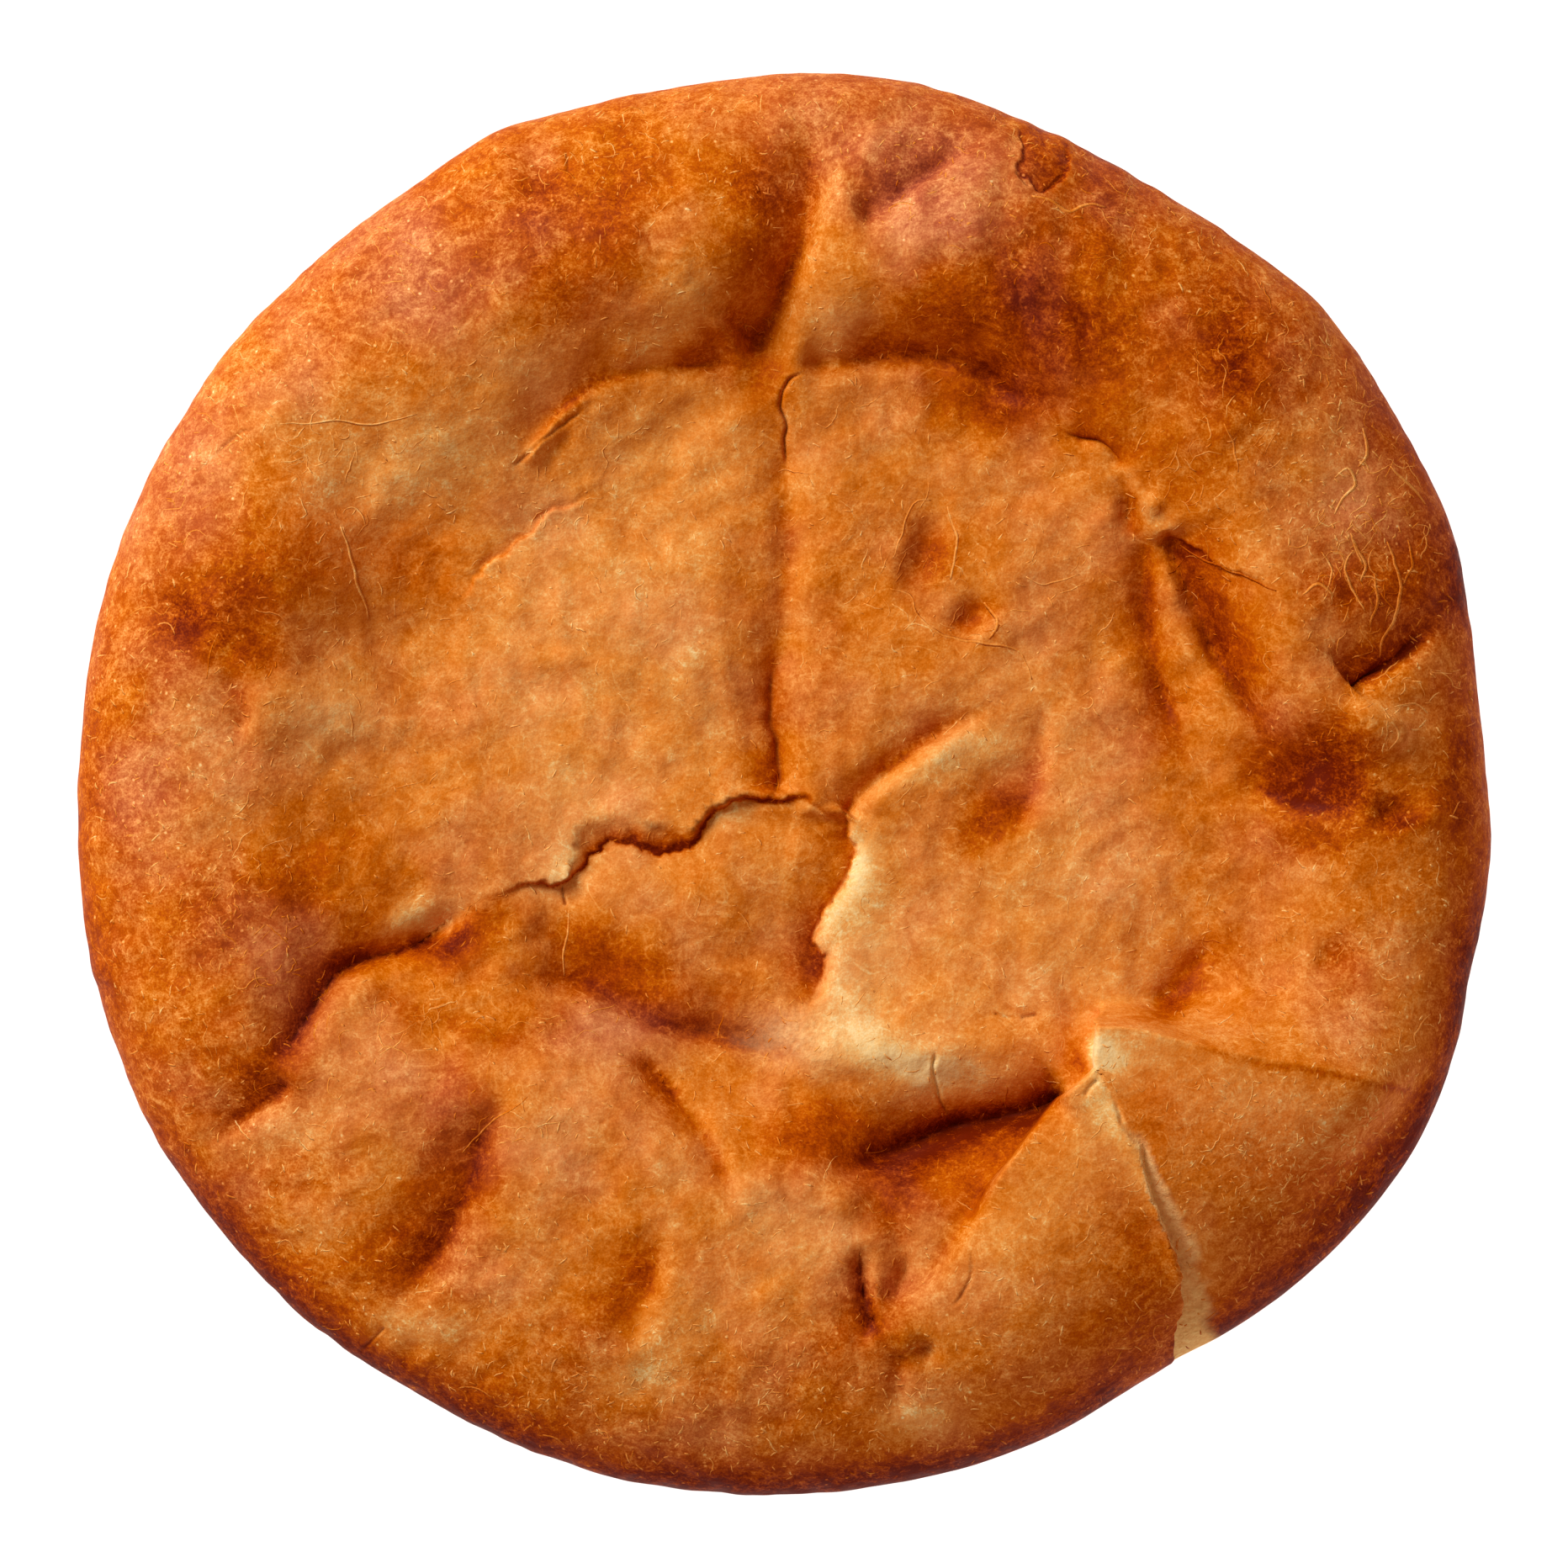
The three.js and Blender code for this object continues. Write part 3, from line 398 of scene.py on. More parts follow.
def planOf(share, angle):
    out, z, lean, keep = loafSection(share)
    r = out * bulgingRadius(loaf["radius"], loaf["outline"], angle)
    return r * np.cos(angle), r * np.sin(angle), z, lean, keep


def besideTear(tear, x, y):
    # points near a tear, how far across it they lie (plus on the upper side), its wall and strength there
    path = curveThrough(tear["path"])
    near = closeTo(path, x, y, 3 * tear["reach"])
    nx, ny = x[near], y[near]
    gap, side, along, _ = besidePath(path, nx, ny)
    across = side * gap + tear["ragged"] * (cloud(nx, ny, 1.7, 41) + 0.6 * cloud(nx, ny, 0.7, 42))
    return near, across, np.interp(along, *tear.get("wall", thinWall)), endFade(along, tear["fade"])


def besideSplit(x, y):
    # points near the split, how far across it they lie (plus to the right), its right wall, how far along
    path = curveThrough(split["path"], 0.5)
    near = closeTo(path, x, y, 12)
    nx, ny = x[near], y[near]
    gap, side, along, _ = besidePath(path, nx, ny)
    ragged = 0.3 * cloud(nx, ny, 1.6, 51) + 0.2 * cloud(nx, ny, 0.7, 52)
    across = side * gap + np.where(gap < 1.2, ragged, 0)
    return near, across, np.interp(along, *split["rightWall"]), along


def besideCracks(x, y):
    # for each crack the points near it, how many widths away they lie, its depth and how strong it is there
    wx, wy = wander(x, y, **lineWander)
    for points, width, depth in cracks.values():
        path = curveThrough(points, 0.4)
        near = closeTo(path, x, y, 4)
        gap, _, along, _ = besidePath(path, wx[near], wy[near])
        yield near, gap / width, depth, endFade(along, (0.15, 0.15))


def crumpledCrust(x, y):
    # ripples, lumps, and drawn-out wrinkles in patches
    height = loaf["ripple"] * (np.sin(x / 8 + 1) * np.cos(y / 8) + np.sin((x + 1.6 * y) / 13))
    for k, (size, amount) in enumerate(loaf["crumples"]):
        height += amount * cloud(x, y, size, 31 + k)
    bend = 0.8 * cloud(x, y, 6, 95)
    for k, (turn, spacing) in enumerate(loaf["wrinkles"]):
        along, across = x * math.cos(turn) + y * math.sin(turn), y * math.cos(turn) - x * math.sin(turn)
        patch = smoothStep(0, 0.5, cloud(x, y, 24, 91 + k))
        height += loaf["wrinkleHeight"] * patch * cloud(0.28 * along, across + bend, spacing, 97 + k)
    return height


def pressFolds(x, y, height, moves):
    wx, wy = wander(x, y, **lineWander)
    for fold in folds.values():
        path = foldLine(fold["path"])
        near = closeTo(path, x, y, 6 * max(fold["width"]))
        gap, side, along, across = besidePath(path, *partWay(0.35, near, x, y, wx, wy))
        strength = endFade(along, fold["fade"])
        if "over" in fold:  # the broad side leans over the line
            broad = 1 if fold["width"][0] > fold["width"][1] else -1
            lean = np.where(side == broad, smoothStep(0, 0.7, gap) * np.exp(-gap / 2.5), 0)
            moves[:, near] -= broad * fold["over"] * strength * lean * across
        width = np.where(side > 0, *fold["width"])
        soft = fold.get("soft", 0.3) * min(fold["width"])
        height[near] -= strength * fold["depth"] * np.exp(-(np.hypot(gap, soft) - soft) / width)


def cutTears(x, y, height):
    for tear in tears.values():
        near, across, wall, strength = besideTear(tear, x, y)
        down = np.clip(1 - across / wall, 0, 1)
        if tear["edge"]:  # a sharp edge on top of the wall
            slope = tear["edge"] + (tear["drop"] - tear["edge"]) * down ** 1.4
        else:  # a rounded one
            slope = tear["drop"] * (1 - np.sqrt(1 - down ** 2))
        upper = slope * smoothStep(-0.25, 0.25, wall - across)
        lower = tear["drop"] * np.exp(np.minimum(across, 0) / tear["reach"])
        groove = tear["gap"] * np.exp(-((across + 0.2) / 0.35) ** 2)
        height[near] -= strength * (np.where(across > 0, upper, lower) + groove)


def raiseCorner(x, y, height, moves, sunk, lumps):
    near = closeTo(np.array(flap["box"]), x, y, 12)
    px, py = x[near], y[near]
    leftGap, leftSide, _, leftAcross = besidePath(curveThrough(flap["leftEdge"]), px, py)
    farGap, farSide, _, _ = besidePath(curveThrough(flap["farEdge"]), px, py)
    splitGap, splitSide, _, _ = besidePath(curveThrough(split["path"]), px, py)
    nx, ny = px - flap["peak"][0], py - flap["peak"][1]
    fromPeak, fromMiddle = np.hypot(nx, ny), np.hypot(px, py)

    (hx, hy), (along, inward), (down, aside) = flap["farHeading"], flap["rightFall"], flap["leftFall"]
    leftPanel = flap["peakRise"] - down * fromPeak - aside * splitGap
    rightPanel = flap["peakRise"] - along * np.maximum(nx * hx + ny * hy, 0)
    rightPanel = rightPanel - inward * np.maximum(nx * hy - ny * hx, 0) ** 2
    # from the shoulder out the plain loaf curves down, but the ridge runs on level
    shoulder = loaf["shoulder"] * loaf["radius"]
    past = np.clip((fromMiddle - shoulder) / (loaf["radius"] - shoulder), 0, 1) ** loaf["roundness"]
    drop = (loaf["rimHeight"] - loaf["bulgeHeight"]) * (1 - (1 - past) ** (1 / loaf["roundness"]))
    rightPanel = rightPanel + drop * np.exp(-(farGap / flap["levelReach"]) ** 2)
    rise = np.maximum(np.where(splitSide > 0, rightPanel, leftPanel), 0)
    rise = rise * (1 - smoothStep(*flap["fadeRadius"], fromMiddle))

    edge = between(flap["edge"], smoothStep(*flap["edgeReach"], fromPeak))
    slope = between(flap["farSlope"], smoothStep(*flap["slopeReach"], fromPeak))
    inside = smoothStep(-1, 1, leftSide * leftGap / edge)
    raised = np.clip(1 - farSide * farGap / slope, 0, 1) ** 1.2 * inside
    height[near] += (sunk[near] + rise - flap["calm"] * lumps[near]) * raised
    over = flap["over"] * np.maximum(1 - fromPeak / flap["overReach"], 0) * inside
    moves[:, near] -= over * np.exp(-np.maximum(leftSide * leftGap, 0) / flap["overFade"]) * leftAcross


def crustRelief(x, y):
    # height over the plain loaf and sideways moves of overhanging lips
    angle = np.arctan2(y, x)
    edge = bulgingRadius(loaf["hollowRadius"], loaf["hollow"], angle)
    slope = bulgingRadius(loaf["hollowSlope"], loaf["slopes"], angle)
    sunk = loaf["hollowDepth"] * smoothStep(-1, 1, (edge - np.hypot(x, y)) / slope)
    lumps = crumpledCrust(x, y)
    height, moves = lumps - sunk, np.zeros((2, len(x)))
    pressFolds(x, y, height, moves)
    for *oval, amount in swells.values():
        height += amount * ovalPatch(x, y, *oval)
    cutTears(x, y, height)
    for near, widths, depth, strength in besideCracks(x, y):
        height[near] -= 0.5 * depth * strength * np.exp(-(widths / 0.7) ** 2)
    raiseCorner(x, y, height, moves, sunk, lumps)
    near, across, wall, along = besideSplit(x, y)
    right, left = smoothStep(0.1, 1, across / wall), smoothStep(0, 1, -across / split["leftWall"])
    closed = np.where(across > 0, right, left)
    height[near] -= np.interp(along, *split["depth"]) * smoothStep(0, 0.06, along) * (1 - closed)
    return height, moves


def sharpness(x, y):
    # how close to a line that needs fine faces
    lines = [tear["path"] for tear in tears.values()] + [crack[0] for crack in cracks.values()]
    lines += [split["path"], flap["leftEdge"][:9], flap["farEdge"][:8]]
    lines.append([(px + 3, py) for px, py in split["path"][2:]])
    closest = np.full(len(x), 1e9)
    for points in lines:
        path = curveThrough(points)
        near = closeTo(path, x, y, 6)
        closest[near] = np.minimum(closest[near], besidePath(path, x[near], y[near])[0])
    return closest


def readPoints(mesh):
    # the flat disc's points as shares of the radius and directions
    flat = np.empty(len(mesh.vertices) * 3)
    mesh.vertices.foreach_get("co", flat)
    x, y, _ = flat.reshape(-1, 3).T
    return np.hypot(x, y), np.arctan2(y, x)


def makeLoaf():
    bpy.ops.object.select_all(action="DESELECT")
    bpy.ops.mesh.primitive_circle_add(vertices=4 * loaf["cells"], radius=1, fill_type="NOTHING")
    obj = bpy.context.object
    obj.name = obj.data.name = "crustLoaf"
    bpy.ops.object.mode_set(mode="EDIT")
    bpy.ops.mesh.select_all(action="SELECT")
    bpy.ops.mesh.fill_grid(span=loaf["cells"])
    # the side and the base go on as wider rings of the same flat disc
    shares = list(np.linspace(1, loaf["sideEnd"], loaf["footRings"] + 1)[1:]) + loaf["baseRings"]
    last = 1.0
    bpy.ops.mesh.select_all(action="DESELECT")
    bpy.ops.mesh.select_mode(type="EDGE")
    bpy.ops.mesh.select_non_manifold()
    for share in shares:
        bpy.ops.mesh.extrude_edges_move()
        bpy.ops.transform.resize(value=(share / last, share / last, 1), center_override=(0, 0, 0))
        last = share
    bpy.ops.mesh.edge_face_add()
    bpy.ops.mesh.select_mode(type="FACE")
    for reach in loaf["fineReach"]:  # finer faces along torn and cracked lines
        bpy.ops.object.mode_set(mode="OBJECT")
        mesh = obj.data
        share, angle = readPoints(mesh)
        x, y = planOf(share, angle)[:2]
        fine = (sharpness(x, y) < reach) & (share < loaf["fineEnd"])
        picked = [len(f.vertices) == 4 and all(fine[v] for v in f.vertices) for f in mesh.polygons]
        mesh.vertices.foreach_set("select", np.zeros(len(mesh.vertices), bool))
        mesh.edges.foreach_set("select", np.zeros(len(mesh.edges), bool))
        mesh.polygons.foreach_set("select", picked)
        bpy.ops.object.mode_set(mode="EDIT")
        bpy.ops.mesh.subdivide(number_cuts=1)
    bpy.ops.object.mode_set(mode="OBJECT")
    return obj


baseTone, crustTop = 0.63, 1.25  # the plain crust and the palest
# the tone patches below hold baked colour and painted light and shade alike
bakeWander = {"layers": [(1.6, 7), (0.6, 2.5)], "seed": 61}  # how the edges of baked patches wander

# baked colour and painted light and shade: middle, half length, half width, turn, and paler (plus) or darker
# (minus)
bakesAndPaintedLight = {
    "farLeftTop": (-45, 80, 16, 8, 25, -0.12), "farLeftSpot": (-36, 86.5, 4, 4, 90, -0.18),
    "farLeftZone": (-23.5, 81, 5, 11, 0, -0.26), "farLeftDark": (-32.5, 74, 6, 9, 0, -0.28),
    "farLeftFoot": (-20, 66, 7, 4, 0, 0.27), "farLeftCorner": (-30, 56, 6, 3.4, 40, -0.3),
    "farMidDark": (-5, 87.5, 4, 4, 0, -0.2), "farMidFoot": (-9, 65.2, 4.2, 3, 10, -0.2),
    "farMidLit": (-13, 71, 5, 5, 30, 0.22), "farFoot": (-3, 70, 2.5, 6, 0, 0.2),
    "farLit": (3, 85, 3.4, 6, 0, 0.27), "farEdgeDark": (8, 97, 4, 4, 0, -0.1),
    "farPuckerSide": (25, 84, 5, 7, 0, -0.08), "farMidLight": (3, 75, 3, 4, 0, 0.07),
    "farRidgeLit": (7, 70, 5, 8, -15, 0.14), "farRootLight": (9, 68, 4.4, 4.2, 30, 0.28),
    "farRidgeGap": (15, 62, 8, 3, 0, -0.15), "junction": (-3.2, 59.6, 3, 3.6, 0, -0.2),
    "junctionDark": (-9, 61, 7, 2.4, 15, -0.2), "farRightDark": (42, 66, 14, 12, 0, -0.34),
    "farRightGap": (30, 66, 5, 3, -20, 0.15), "farRightFold": (22, 66, 8, 2, -8, 0.16),
    "farRidgeLow": (4.5, 66, 3, 3, 0, 0.14), "farRightSide": (21, 73, 3.6, 5, 0, -0.1),
    "farRightCore": (42, 64.5, 5, 3, 0, -0.12), "farRightSpot": (34, 75.5, 5, 6, 0, -0.18),
    "farRightRim": (46, 86, 8, 8, 0, -0.2), "farRightFoot": (30.5, 57, 10, 4, -4, -0.25),
    "farRightDip": (30, 53, 4, 3.6, 0, -0.22), "farRightShade": (31, 69.5, 10, 7.5, -12, -0.14),
    "farRightLobe": (66, 64, 14, 10, -40, -0.25), "farRightLow": (65.6, 60, 4, 7, 0, -0.2),
    "farRightTop": (46, 72.5, 9, 4, 0, 0.14), "lobeLit": (55, 67, 6, 4.4, -20, 0.1),
    "flakePatch": (38.4, 92.4, 5, 3.2, 90, -0.15), "rightFarSide": (75, 71, 8, 5, -40, 0.12),
    "rightFarLight": (84, 67, 6, 6, 0, 0.2), "slopeLight": (-57, 50, 16, 7.5, 12, 0.22),
    "slopeMid": (-49, 47, 6, 5, 0, 0.22), "leftSlope": (-66, 46, 9, 9, 0, 0.12),
    "slopeEnd": (-36.5, 60, 6, 4, 0, 0.2), "leftPaleSpot": (-75, 54, 3, 3, 0, 0.15),
    "leftBlister": (-90, 25.3, 4, 5, 0, -0.25), "blisterSide": (-85, 32, 6, 5, 0, 0.1),
    "leftDarkEdge": (-82, 28, 9, 8, 40, -0.36), "leftDent": (-70, 30, 10, 6, 10, -0.1),
    "leftDentLow": (-77.5, 20.4, 7, 3.8, 0, -0.23), "dentRight": (-53, 30, 6.6, 5, 0, -0.2),
    "leftShelf": (-66, 9, 6.4, 4.4, 10, 0.3), "shelfSide": (-62, 13, 4, 5, 0, 0.12),
    "leftBulge": (-72, 13, 8, 6, 0, 0.12), "leftBulgeToo": (-85, 5, 5, 6, 0, 0.1),
    "leftRimLight": (-88.5, 11.5, 5, 4.4, 0, 0.22), "leftRimMid": (-84, -5, 4, 5, 0, 0.08),
    "leftKnobDark": (-77, 3, 4, 3, 0, -0.08), "leftSide": (-80, -15.5, 12, 7, 0, -0.2),
    "leftMidDark": (-69.5, -14, 6.4, 7, 0, -0.26), "leftMidSide": (-62, -7, 4, 5, 20, -0.12),
    "leftLobeShade": (-80, -21.5, 6, 5, 0, -0.13), "leftRimShade": (-97, -10, 3, 8, 0, -0.06),
    "underLip": (-50, -22, 9, 3.5, 22, -0.32), "overLip": (-53, -21, 7, 2.6, 25, 0.65),
    "lipShade": (-45, -24.5, 6.5, 4, 20, -0.24), "lipLit": (-55, -19.2, 4, 3, 30, 0.3),
    "lipNear": (-48, -27, 3, 2, 20, 0.12), "lipUnder": (-49.8, -22.2, 4, 2, 28, -0.4),
    "lipWall": (-32, -12, 6, 2.2, 35, 0.34), "deepFold": (-73, -37, 8, 4, 54, -0.3),
    "overFold": (-75, -35, 4, 3, 50, 0.22), "leftFoldDark": (-64, -25.5, 7, 2, 15, -0.09),
    "creaseDark": (-76, -45, 4, 2.4, 30, -0.06), "leftLight": (-72, -51.2, 6.4, 3.2, 22, 0.3),
    "nearLeftRimLit": (-84, -54, 4, 5, 30, 0.13), "nearLeftRound": (-67.5, -65, 6.5, 5, 0, 0.27),
    "nearLeftStreak": (-57, -80.5, 7, 3, -16, 0.27), "nearLeftLow": (-49, -80, 8, 3.4, -20, 0.24),
    "nearLeftDark": (-46, -51, 5, 11, 3, -0.22), "nearLeftDeep": (-44, -56, 4, 7, 12, -0.24),
    "nearLeftShade": (-51.5, -53, 3.6, 5, 0, -0.15), "nearLeftDarkToo": (-53, -67, 9, 5, 50, -0.18),
    "valleySideLit": (-47, -52, 2.4, 4.6, -15, 0.28), "nearLeftLight": (-35, -52, 8, 7, 0, 0.12),
    "nearLowToo": (-38, -73, 8, 4, 30, 0.12), "nearFoldTop": (-44, -30, 8, 4, -10, -0.07),
    "nearFoldDark": (-33, -34, 9, 4, -18, -0.14), "nearFoldLow": (-35, -38, 5, 3, -15, -0.08),
    "nearFoldEnd": (-18, -31.5, 4, 3, 0, -0.1), "tongueFoot": (-25, -25.5, 12, 4, -18, -0.24),
    "nearMidLight": (-15, -55, 5, 9, 0, 0.12), "nearMidLow": (-16, -79, 8, 8, 30, 0.2),
    "rimNearSpot": (-49, -89, 4, 3, 0, 0.12), "nearMidTop": (4, -66, 8, 6, 0, 0.1),
    "nearKnee": (-3, -62, 4, 5, 0, 0.13), "nearBlotch": (-23.4, -76, 5.4, 5, 0, -0.2),
    "blotchTop": (-21, -71.2, 4.4, 4.8, 0, -0.24), "nearLow": (-21, -86.5, 6, 4.5, 0, 0.36),
    "nearEdge": (-9, -95, 4, 4, 0, 0.1), "nearGap": (-12, -87.5, 4, 3.4, 0, -0.12),
    "curlLight": (19, -92, 6.5, 3.6, 0, 0.42), "curlDark": (14, -78, 5, 5, 0, -0.25),
    "curlSide": (8, -79, 5, 5, 0, -0.16), "curlFacet": (21.5, -68, 6, 2, 50, 0.12),
    "curlRoot": (17, -61, 4, 4, 30, -0.14), "nearValleyLeft": (2, -52, 8, 5, 0, -0.3),
    "nearValleyRight": (20, -58.5, 11, 5, 25, -0.32), "valleyNear": (22, -54.5, 12, 2.6, 18, -0.26),
    "valleyFar": (8, -52, 10, 4, 0, -0.05), "rollLow": (8, -48, 8, 3, 0, -0.17),
    "ridgeGold": (26, -43, 15, 4, 0, 0.3), "paleRidge": (18, -41.5, 16, 3, 0, 0.22),
    "palePatch": (9.5, -35.6, 10.5, 5, -12, 0.42), "paleLow": (17, -40.5, 8, 3.4, -8, 0.12),
    # under the flap's tip the crust is painted with shade
    "paleLeft": (1, -38, 6, 5, -8, -0.3), "tipPaintedShade": (43, -41, 2.8, 3, 0, -0.52),
    "sheetNear": (30, -32, 6, 3, 0, 0.08), "plateau": (-27, 27, 25, 34, 0, 0.17),
    "plateauRight": (29, -17, 23, 17, 0, 0.13), "plateauNear": (-35, -2, 8, 12, 0, 0.07),
    "plateauSide": (-48, 10, 5, 6, 0, -0.07), "plateauFar": (34, 14, 9, 14, 20, 0.08),
    "plateauTop": (-16, 52, 10, 5, 0, 0.09), "plateauFarLit": (4, 46.5, 13, 4.5, 0, 0.1),
    "middleBlotch": (-6.4, 29, 5, 3, 90, -0.12), "middleRight": (7, 18, 4, 14, 0, -0.12),
    "tearMid": (-1, -2, 4, 2, 0, -0.14), "middleLow": (1.2, 10.5, 2.2, 8, 0, -0.12),
    "middleEnd": (-2.2, 3, 2.2, 7, 0, -0.2), "tearEnd": (-7, -4.4, 3.4, 1.7, 15, 0.34),
    "tearUpper": (12, 5, 3, 2, 45, 0.08), "tearRidgeLit": (23, 2.6, 10, 1.8, 27, 0.3),
    "sheetLight": (13, -22, 4, 8, 0, 0.31), "sheetFoot": (3.8, -29, 3.8, 5.8, 0, -0.36),
    "sheetFootDark": (4.5, -20, 2, 5, -10, -0.1), "sheetSide": (-1, -19, 3.4, 5, 0, 0.07),
    "dimpleRidge": (30, 3.2, 8, 2.6, 25, 0.3), "tearFoldDark": (20, 4.8, 6, 1.6, 33, -0.2),
    "tearFoldLit": (15, 8, 3, 2, 40, 0.08), "dimpleFoot": (31, -5, 7, 3.4, 32, -0.5),
    "dimpleSideDark": (37, 3, 2.4, 5, 0, -0.12), "rightDimple": (29.5, -0.5, 6, 4.5, 50, -0.1),
    "ovalDimple": (21.7, 33.4, 3.6, 4, 0, -0.36), "smallDimple": (27.7, 24.2, 3, 2, 35, -0.32),
    "smallLit": (27.3, 27.6, 2.6, 1.6, 30, 0.14), "dimpleSide": (22, 19, 5, 4, 0, -0.08),
    "ovalFar": (29, 38, 5, 4, 0, -0.07), "pinchPit": (50.8, 40.3, 3.4, 1.6, 98, -0.3),
    "rightRidgeLit": (53, 41.5, 4, 1.2, -55, 0.3), "grooveLit": (57, 31, 1.4, 6, 8, 0.06),
    "grooveSide": (52, 28, 2.5, 5, 0, -0.12), "grooveMid": (56, 19, 2.4, 6, 8, -0.1),
    "grooveLow": (56, 5, 4, 6, 10, -0.15), "rightFoldSide": (56, 39, 4, 2.5, -45, 0.12),
    "pinchShade": (58, 42.5, 5, 4.4, -45, -0.15), "lobeDark": (54, 54, 6.4, 5, -35, -0.14),
    "rightTop": (58, 58, 4, 5, 0, 0.05), "rightFarLow": (64, 48, 4, 5, 0, -0.09),
    "wedge": (65, 20, 4, 6.4, 30, -0.08), "wedgeTop": (65, 31, 5, 3, -30, 0.08),
    "wedgeLow": (69.6, 12.5, 3, 5.4, 30, 0.12), "rightDent": (79.3, 3.6, 8, 4.2, -8, -0.42),
    "dentFar": (80, 8, 5, 3, -20, -0.2), "rightDentLow": (82, -2.5, 10, 5, -4, -0.3),
    "rightDentSide": (80, -8.5, 9.6, 3.6, 0, -0.24), "rightKnobLit": (86.5, 8.5, 3.6, 2.4, -30, 0.16),
    "knobLit": (88.5, 4, 2.6, 4, 0, 0.17), "rightGrey": (77.4, 16.5, 3.6, 2.4, 90, -0.1),
    "creaseUnder": (86, 16.2, 5, 2.7, 38, -0.2), "rightCreaseLit": (97, 20, 5, 5, 0, 0.2),
    "rightBrownFace": (94.9, 27.8, 9, 6.5, 80, -0.25), "rightLobeDark": (80.5, 28.5, 8.6, 4, 0, -0.22),
    "rightFaceLow": (85, 29, 5, 4, 0, -0.12), "rightFace": (90.4, 35, 5, 5, 0, -0.2),
    "rightLobeSide": (87, 50, 5, 5, 0, -0.08), "rightLobeLight": (78, 48, 8, 7, -30, 0.2),
    "rightRimDark": (97, 2.6, 2.8, 5, 0, -0.22), "rightRimLit": (93, 6, 3, 8, 20, 0.07),
    "rimRight": (97.5, -5, 3, 6, 0, -0.25), "rimEdge": (103.4, 2, 2.4, 16, 0, 0.24),
    "tornPit": (90.5, -4.5, 2.6, 1.8, -15, -0.3), "tornSideLit": (89.5, -9.5, 4, 3, 20, 0.16),
    "plateauEdge": (62, -12, 7, 8, 0, -0.09), "creaseFar": (66, -24, 5, 4, 40, -0.08),
    "rimPit": (83.6, -26, 2, 2.5, 0, -0.15), "rimPitSide": (80, -25, 3, 4, 0, 0.1),
    "rimLit": (94, -28, 4, 7, 0, 0.1), "rightLow": (85, -28, 3, 4, 0, -0.12),
    "behindFlap": (52, -28, 10, 7, 0, 0.1), "behindPeak": (45, -28, 6, 5, 0, 0.1),
    "peakCrease": (58, -30, 5.4, 3.4, 48, -0.36), "behindTip": (58.5, -33, 4, 2.2, 0, -0.16),
    "behindRidge": (76, -36, 12, 3.4, -8, 0.02), "ridgeEnd": (94, -40, 4, 4.6, 0, 0.15),
    "flapTip": (48.8, -38, 2.6, 2.5, 0, 0.8), "tipGold": (52, -39.5, 4, 3, -10, 0.16),
    "flapPanel": (72, -46.5, 14, 5, -8, 0.22), "ridgeFoot": (60, -35, 5, 3, 0, 0.1),
    "panelLow": (75, -63, 8, 5, 35, -0.1), "rimFlapLight": (80, -75.5, 11, 4, 42, 0.36),
    "rimLeftLow": (-96, -46, 4, 14, 26, 0.16), "rightRimLow": (85, -58, 8, 4, 40, -0.1),
    "flapLeftTop": (45, -48, 3, 3, 0, 0.12), "splitLeft": (51, -66, 3.6, 11, 12, -0.16),
    "splitRight": (53, -48, 3, 6, -10, -0.12), "splitSideLit": (61, -69, 2, 6.4, 12, 0.2),
    "splitFoot": (54, -87.5, 5, 3.6, 10, 0.36), "splitRim": (50, -86, 10, 5, 25, -0.1),
    "flapLow": (49, -78, 7, 7, 0, -0.07), "flapLeftMid": (36, -62, 7, 5, 40, 0.13),
    "flapLeftUp": (45, -55, 4, 5, 0, 0.08), "nearFlapRim": (47, -83, 6, 5, 0, -0.1),
    "flapRoot": (25, -68, 5, 4, 45, -0.12), "rimNearLeft": (-27, -100, 8, 4, 0, 0.12),
    "rimNear": (22, -103, 14, 3, 0, -0.16), "rimLeftNear": (-60, -90, 6, 3, -35, -0.16),
    "rimLeft": (-85, -67, 7, 3, -50, -0.14), "rimRightNear": (97, -46, 8, 3, 65, -0.16),
    "rimRightMid": (102, -28, 7, 2.4, 75, -0.16), "rimRightFar": (101, 33, 6, 2.4, 105, -0.16),
}

# thin crust beside the torn sheet: middle, half length, half width, turn, and how much crumb shows through
palePatch = {"oval": (2, -37.6, 7.5, 3.4, -12), "share": 0.5}
crumbWander = {"layers": [(1, 3)], "seed": 76}

# where the crust is rosier and duller (plus) or ruddier (minus) than elsewhere, in part a painted sheen on
# slopes that face the light and a warmer painted shade on shaded ones: middle, half sizes, how much
blushAndPaintedSheen = {
    "farRight": (24, 86, 15, 9, 0.9), "farLeft": (-58, 74, 20, 13, 0.6), "left": (-88, 44, 9, 16, 0.5),
    "far": (-5, 98, 32, 7, 0.3), "leftLobe": (-73, -25, 8, 9, 0.7), "leftRim": (-93, -2, 8, 18, 0.5),
    "nearLeft": (-62, -42, 12, 7, 0.5), "nearMid": (-32, -56, 9, 7, 0.5), "right": (86, 46, 8, 10, 0.6),
    "flapLeft": (38, -66, 11, 14, -0.5), "rightGrey": (79, 16, 3, 4.5, 0.15),
    "shoulder": (-25, -36, 12, 5, 0.5), "flapPanel": (74, -50, 18, 11, -1.2),
    "flapTip": (52, -43, 6, 6, -0.5), "leftSlope": (-64, 38, 13, 11, -0.9), "wedge": (64, 22, 8, 13, -0.5),
}
blushWander = {"layers": [(3, 9)], "seed": 81}
